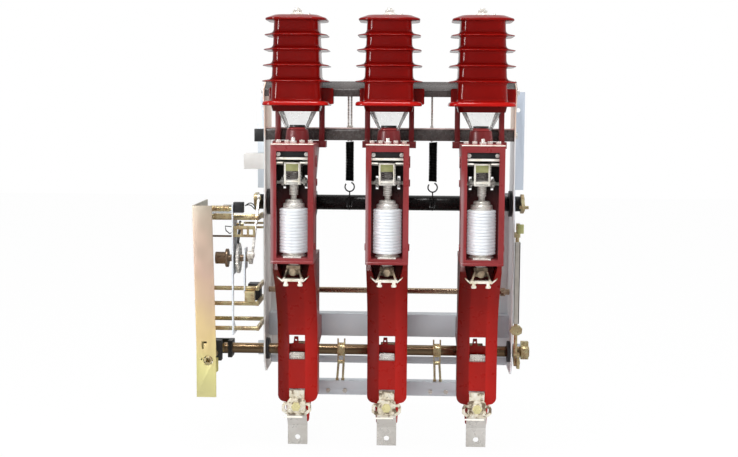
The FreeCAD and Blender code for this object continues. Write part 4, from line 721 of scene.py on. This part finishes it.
def add_bushings():
    """Three upper bushings with the shoulder behind each, a square pressed to its depth in Y."""
    for name, x in PHASES.items():
        shoulder, wrap_u, wrap_v = square_grid(eased(shoulder_rows(), 1.5), x + SHOULDER_SHIFT, 0.0, 5)
        part = (shoulder[..., 1] + SHOULDER_HALF) / (2 * SHOULDER_HALF)
        shoulder[..., 1] = SHOULDER_FRONT + part * (SHOULDER_BACK - SHOULDER_FRONT)
        piece("bushing_%s_cast" % name, [square_grid(bushing_rows(), x, BUSH_Y), (shoulder, wrap_u, wrap_v)],
              "red_epoxy", "frame", 50, ["bushing_" + name])


def turned_sheets(profile, y, around):
    """A closed profile turned about the upright line at y in each phase."""
    return [(ring_grid(profile, x, y, around)[0], True, True) for x in PHASES.values()]


CERAMIC_RIBS = 14
CERAMIC_FOOT = -23.0
CERAMIC_HEAD = 76.0
CERAMIC_BORE_R = 20.0
CERAMIC_ROOT_R = 28.4
CERAMIC_RIB = 3.6


def add_ceramics():
    """Three interrupter bodies with flat ribs: r = root + rib (1 - |2t - 1|^5), t over each rib."""
    t = np.linspace(0.0, CERAMIC_RIBS, CERAMIC_RIBS * 9 + 1)
    z = CERAMIC_FOOT + (CERAMIC_HEAD - CERAMIC_FOOT) * t / CERAMIC_RIBS
    part = t - np.floor(t)
    r = CERAMIC_ROOT_R + CERAMIC_RIB * (1.0 - np.abs(2.0 * part - 1.0) ** 5)
    body = np.column_stack([r, z])
    profile = np.vstack([[(CERAMIC_BORE_R, CERAMIC_FOOT), (CERAMIC_ROOT_R, CERAMIC_FOOT)], body,
                         [(CERAMIC_ROOT_R, CERAMIC_HEAD), (CERAMIC_BORE_R, CERAMIC_HEAD)]])
    piece("ceramic_bodies", turned_sheets(profile, CERAMIC_Y, 56), "white_ceramic", "frame", 60,
          ["ceramics"])


def add_cups():
    """Guide cups on the cages' top plates, with an eased shoulder, a dark mouth and a pale lip."""
    cup = [(11.05, 219.5), (30.0, 219.5), (30.0, 222.5), (27.2, 224.5), (26.4, 236.0), (25.0, 249.0),
           (23.5, 251.0), (18.4, 251.4), (17.6, 252.5), (17.6, 254.0), (15.2, 254.0), (15.0, 237.5),
           (11.05, 235.5)]
    mouth = [(15.0, 254.1), (18.0, 254.1), (18.0, 260.2), (17.2, 261.0), (15.8, 261.0), (15.0, 260.2)]
    lip = [(18.05, 251.45), (23.2, 251.05), (22.6, 253.4), (18.05, 256.2)]
    for name, profile, slot, finish in (("guide_cups_turned", cup, "red_epoxy", "guide_cups"),
                                        ("guide_cup_mouths", mouth, "black_plastic", None),
                                        ("guide_cup_lips", lip, "white_plastic", "cage_bars")):
        piece(name, turned_sheets(eased(profile, 1.2), BUSH_Y, 48), slot, "frame", 45, ["guide_cups"],
              finish)


def add_springs():
    """Black balance springs: a tight helix, nearly closed, with flat end turns."""
    turns = 26
    coil_r = 8.2
    wire_r = 1.76
    foot = 128.8
    length = 91.5
    t = np.linspace(0.0, 1.0, turns * 16 + 1)
    a = 2 * np.pi * turns * t
    rise = length * t - 1.2 * np.sin(2 * np.pi * t)
    sheets = []
    for x in SPRING_X:
        path = np.column_stack([x + coil_r * np.cos(a), SPRING_Y + coil_r * np.sin(a), foot + rise])
        sheets.append(tube_grid(path, wire_r, 8))
    coils = piece("balance_springs_wound", sheets, "black_paint", "frame", 60, ["balance_springs"],
                  "balance_springs")
    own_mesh(coils)


def add_mech_spring():
    """Horizontal coil spring on its guide rod in the mechanism: a helix along X."""
    turns = 13
    coil_r = 6.2
    y = MECH_SPRING_Y
    z = MECH_SPRING_Z
    t = np.linspace(0.0, 1.0, turns * 14 + 1)
    a = 2 * np.pi * turns * t
    path = np.column_stack([-406.7 + 41.4 * t, y + coil_r * np.cos(a), z + coil_r * np.sin(a)])
    bar = np.array([(-440.0, y, z), (-395.0, y, z), (-357.0, y, z)])
    piece("mech_spring_wound", [tube_grid(path, 1.3, 8), tube_grid(bar, 4.0, 20)], "gold_zinc", "frame",
          50, ["mech_spring"])


def add_carrier_fronts():
    """On each stem's carrier: cream cheeks and rungs, an olive plate, and a dark coil of rounded rungs
    that lean as turns do."""
    front = -306.6
    back = -304.15
    t = np.linspace(0.0, 1.0, 9)
    for name, x in PHASES.items():
        body = "stem_" + name
        cream = [slab_grid((x - 19.5, front, 131.5), (x - 15.6, back, 179.9), 0.6),
                 slab_grid((x + 12.6, front, 131.5), (x + 15.6, back, 179.9), 0.6),
                 slab_grid((x - 15.5, front - 0.4, 136.0), (x + 12.5, back, 139.6), 0.7, 0),
                 slab_grid((x - 15.5, front, 176.4), (x + 12.5, back, 179.6), 0.7, 0)]
        piece("carrier_cheeks_" + name, cream, "nickel", body, 50, (), "cage_bars")
        plate = slab_grid((x - 15.4, front + 0.8, 160.4), (x + 12.4, back, 176.2), 0.4)
        piece("carrier_plate_" + name, [plate], "yellow_zinc", body, 50, (), "olive_plate")
        turns = []
        for i in range(5):
            z = 142.6 + 3.8 * i
            path = np.column_stack([x - 14.6 + 26.0 * t, -305.4 - 0.9 * np.sin(np.pi * t), z + 1.6 * t])
            turns.append(tube_grid(path, 1.25, 8))
        piece("carrier_coil_" + name, turns, "dark_grey_paint", body, 60)


def add_front_rungs():
    """Cream rungs across each cage in front of its carrier, the lower one in two halves, and the bar
    across each lower terminal."""
    reach = 41.0
    front = -319.0
    rungs = []
    for x in PHASES.values():
        rungs.append(slab_grid((x - reach, front, 186.4), (x + reach, -315.5, 191.6), 1.2, 0))
        rungs.append(slab_grid((x - reach, front, 178.0), (x - 20.5, -316.0, 181.5), 1.0, 0))
        rungs.append(slab_grid((x + 17.5, front, 178.0), (x + reach, -316.0, 181.5), 1.0, 0))
        rungs.append(slab_grid((x - 29.0, -238.0, -415.4), (x + 16.0, -234.3, -411.8), 1.0, 0))
    piece("front_rungs", rungs, "nickel", "frame", 50, (), "cage_bars")


def add_shield_faces():
    """The arc shields' milky rear walls, and thin black wires along the edges of the clear side walls as
    painted shade for their dark edges. A rear wall is ruled between a level line at the cup and a wider one
    above it, bowed to the rear in the middle."""
    u = np.linspace(-1.0, 1.0, 13)[None, :]
    w = np.linspace(0.0, 1.0, 9)
    v = w[:, None]
    half = 17.5 + 19.0 * v ** 1.15
    bow = 4.0 * (1 - u ** 2) + 0.0 * v
    rise = 257.0 + 33.5 * v + 0.0 * u
    backs = []
    lines = []
    for x in PHASES.values():
        for thick in (0.0, 1.0):
            backs.append((np.stack([x + half * u, -183.0 + thick + bow, rise], axis=-1), False, False))
        # Painted shade: black wires along both edges of each clear side wall stand in for their dark look.
        for side in (-1.0, 1.0):
            for foot, head in ((19.0, 37.5), (23.5, 43.0)):
                path = np.column_stack([x + side * (foot + (head - foot) * w), np.full(9, -226.0),
                                        254.0 + 36.5 * w])
                lines.append(tube_grid(path, 0.5, 6))
    piece("shield_backs", backs, "clear_shield", "frame", 50, (), "milky")
    piece("shield_edge_shade", lines, "black_plastic", "frame", 60)


def add_link_bar():
    """The interlock rod's flat cover with dark edges, and the plate clamped at its top."""
    body = "interlock_rod"
    bar = slab_grid((297.4, -144.5, -205.0), (309.4, -142.2, -10.0), 0.8)
    piece("link_bar", [bar], "gold_zinc", body, 50, (), "link_bar")
    edges = [tube_grid(np.array([(x, -144.6, z) for z in (-204.0, -107.0, -11.0)]), 0.9, 8)
             for x in (297.6, 309.2)]
    piece("link_bar_edges", edges, "black_plastic", body, 60)
    plate = slab_grid((301.0, -149.5, 10.0), (317.0, -146.5, 32.0), 1.5, 1)
    piece("link_clamp_plate", [plate], "yellow_zinc", body, 50, (), "olive_plate")


def add_mech_details():
    """Small pieces in the drive: a ribbed terminal strip on the shelf, a thin rod with a wire catch,
    two bracket bars on the side plate and loose leads."""
    ribs = [slab_grid((-388.0, -172.0, 58.9), (-360.5, -150.0, 66.0), 0.6)]
    for i in range(7):
        x = 3.8 * i
        ribs.append(slab_grid((-387.0 + x, -172.6, 66.1), (-385.0 + x, -151.0, 72.6), 0.5))
    piece("terminal_strip", ribs, "white_plastic", "frame", 50, (), "link_bar")
    rod_path = np.array([(-436.0, -180.0, 0.6), (-400.0, -180.0, 0.6), (-357.4, -180.0, 0.6)])
    catch = np.array([(-381.0, -180.0, 24.0), (-363.0, -180.0, 22.5), (-361.5, -180.0, 9.0),
                      (-371.0, -180.0, 7.0), (-379.0, -180.0, 13.5)])
    piece("catch_rod", [tube_grid(rod_path, 2.3, 12)], "gold_zinc", "frame", 50, (), "mech_hub")
    piece("catch_wire", [tube_grid(catch, 1.3, 8, True)], "black_plastic", "frame", 60)
    bars = [slab_grid((-350.0, -86.0, z), (-303.4, -80.0, z + 5.0), 1.0, 0) for z in (10.0, 20.5)]
    piece("bracket_bars", bars, "gold_zinc", "frame", 50)
    leads = []
    t = np.linspace(0.0, 1.0, 25)
    for reach, rise, y in ((26.0, 9.0, -196.0), (22.0, 5.0, -202.0)):
        path = np.column_stack([-331.0 + reach * t, y + 6.0 * np.sin(3.0 * t),
                                74.0 + rise * np.sin(np.pi * t) - 8.0 * t])
        leads.append(tube_grid(path, 1.2, 8))
    piece("loose_leads", leads, "black_plastic", "frame", 60)


# Floor and light

FLOOR_Z = -0.5
FLOOR_HALF = 8


def lay_floor():
    """A pale floor under the part. The camera sees it nearly white, with the shadow kept."""
    mesh = bpy.data.meshes.new("floor")
    corner = [(FLOOR_HALF * sx, FLOOR_HALF * sy, FLOOR_Z) for sx, sy in ((-1, -1), (1, -1), (1, 1), (-1, 1))]
    mesh.from_pydata(corner, [], [(0, 1, 2, 3)])
    mat = bpy.data.materials.new("pale_floor")
    mat.use_nodes = True
    tree = mat.node_tree
    bsdf = tree.nodes["Principled BSDF"]
    bsdf.inputs["Roughness"].default_value = 0.9
    glow = tree.nodes.new("ShaderNodeEmission")
    glow.inputs["Color"].default_value = (1.0, 1.0, 1.0, 1.0)
    path = tree.nodes.new("ShaderNodeLightPath")
    shade = tree.nodes.new("ShaderNodeMix")
    shade.data_type = "RGBA"
    shade.inputs["A"].default_value = (0.85, 0.85, 0.85, 1.0)
    shade.inputs["B"].default_value = (0.16, 0.155, 0.15, 1.0)
    tree.links.new(path.outputs["Is Glossy Ray"], shade.inputs["Factor"])
    tree.links.new(shade.outputs["Result"], bsdf.inputs["Base Color"])
    seen = tree.nodes.new("ShaderNodeMath")
    seen.operation = "MULTIPLY"
    seen.inputs[1].default_value = 0.97
    tree.links.new(path.outputs["Is Camera Ray"], seen.inputs[0])
    mix = tree.nodes.new("ShaderNodeMixShader")
    tree.links.new(seen.outputs["Value"], mix.inputs["Fac"])
    tree.links.new(bsdf.outputs["BSDF"], mix.inputs[1])
    tree.links.new(glow.outputs["Emission"], mix.inputs[2])
    tree.links.new(mix.outputs["Shader"], tree.nodes["Material Output"].inputs["Surface"])
    mesh.materials.append(mat)
    floor = bpy.data.objects.new("floor", mesh)
    bpy.context.collection.objects.link(floor)


def light_world():
    """White to the camera and through clear plastic, softer as light and darkest in what the front
    faces mirror from behind the camera."""
    world = bpy.data.worlds.new("studio")
    bpy.context.scene.world = world
    world.use_nodes = True
    tree = world.node_tree
    back = tree.nodes["Background"]
    place = tree.nodes.new("ShaderNodeTexCoord")
    split = tree.nodes.new("ShaderNodeSeparateXYZ")
    tree.links.new(place.outputs["Generated"], split.inputs["Vector"])
    path = tree.nodes.new("ShaderNodeLightPath")
    front = tree.nodes.new("ShaderNodeMapRange")
    front.inputs["To Min"].default_value = 0.5
    front.inputs["To Max"].default_value = 0.16
    tree.links.new(path.outputs["Is Glossy Ray"], front.inputs["Value"])
    turn = tree.nodes.new("ShaderNodeMapRange")
    turn.inputs["From Min"].default_value = -0.5
    turn.inputs["From Max"].default_value = 0.6
    rear = tree.nodes.new("ShaderNodeMapRange")
    rear.inputs["To Min"].default_value = 0.95
    rear.inputs["To Max"].default_value = 0.7
    tree.links.new(path.outputs["Is Glossy Ray"], rear.inputs["Value"])
    tree.links.new(rear.outputs["Result"], turn.inputs["To Max"])
    tree.links.new(front.outputs["Result"], turn.inputs["To Min"])
    tree.links.new(split.outputs["Y"], turn.inputs["Value"])
    direct = tree.nodes.new("ShaderNodeMath")
    direct.operation = "MAXIMUM"
    tree.links.new(path.outputs["Is Camera Ray"], direct.inputs[0])
    tree.links.new(path.outputs["Is Transmission Ray"], direct.inputs[1])
    mix = tree.nodes.new("ShaderNodeMix")
    tree.links.new(direct.outputs["Value"], mix.inputs["Factor"])
    tree.links.new(turn.outputs["Result"], mix.inputs["A"])
    mix.inputs["B"].default_value = 1.0
    tree.links.new(mix.outputs["Result"], back.inputs["Strength"])
    back.inputs["Color"].default_value = (1.0, 1.0, 1.0, 1.0)


def lamp(name, at, target, size, power, mirrored=True, lights=True):
    """A soft rectangular lamp aimed at a point: mirrored in glossy faces or not, and a light or only
    a mirrored shape."""
    data = bpy.data.lights.new(name, "AREA")
    data.shape = "RECTANGLE"
    data.size = size[0]
    data.size_y = size[1]
    data.energy = power
    obj = bpy.data.objects.new(name, data)
    bpy.context.collection.objects.link(obj)
    back = np.array(at, float) - np.array(target, float)
    back /= np.linalg.norm(back)
    side = np.cross((0.0, 0.0, 1.0), back)
    side /= np.linalg.norm(side)
    m = np.eye(4)
    m[:3, 0] = side
    m[:3, 1] = np.cross(back, side)
    m[:3, 2] = back
    m[:3, 3] = at
    obj.matrix_world = Matrix(m.tolist())
    obj.visible_glossy = mirrored
    obj.visible_diffuse = lights


def light_studio():
    """The world's light, a tall strip that only mirrors at the left, a broad lamp in front at the
    left, one overhead, and a soft fill from each side that leaves no mirror image."""
    light_world()
    lamp("strip_left", (-1.9, -1.5, 0.3), (0.0, -0.25, 0.05), (0.36, 2.4), 66.0, True, False)
    lamp("key", (-0.7, -3.4, 0.8), (0.0, -0.2, 0.0), (1.4, 1.4), 20.0, False)
    lamp("overhead", (-0.3, -1.0, 2.6), (0.0, -0.2, 0.3), (1.2, 0.8), 55.0)
    lamp("fill_right", (2.4, -1.7, 0.5), (0.0, -0.15, 0.0), (1.0, 1.8), 36.0, False)
    lamp("fill_left", (-1.8, -2.0, 0.3), (0.0, -0.25, 0.0), (0.8, 1.8), 12.0, False)


place_camera()
dress_nodes()
add_bushings()
add_ceramics()
add_cups()
add_springs()
add_mech_spring()
add_carrier_fronts()
add_front_rungs()
add_shield_faces()
add_link_bar()
add_mech_details()
lay_floor()
light_studio()
bpy.context.scene.view_settings.view_transform = "Standard"
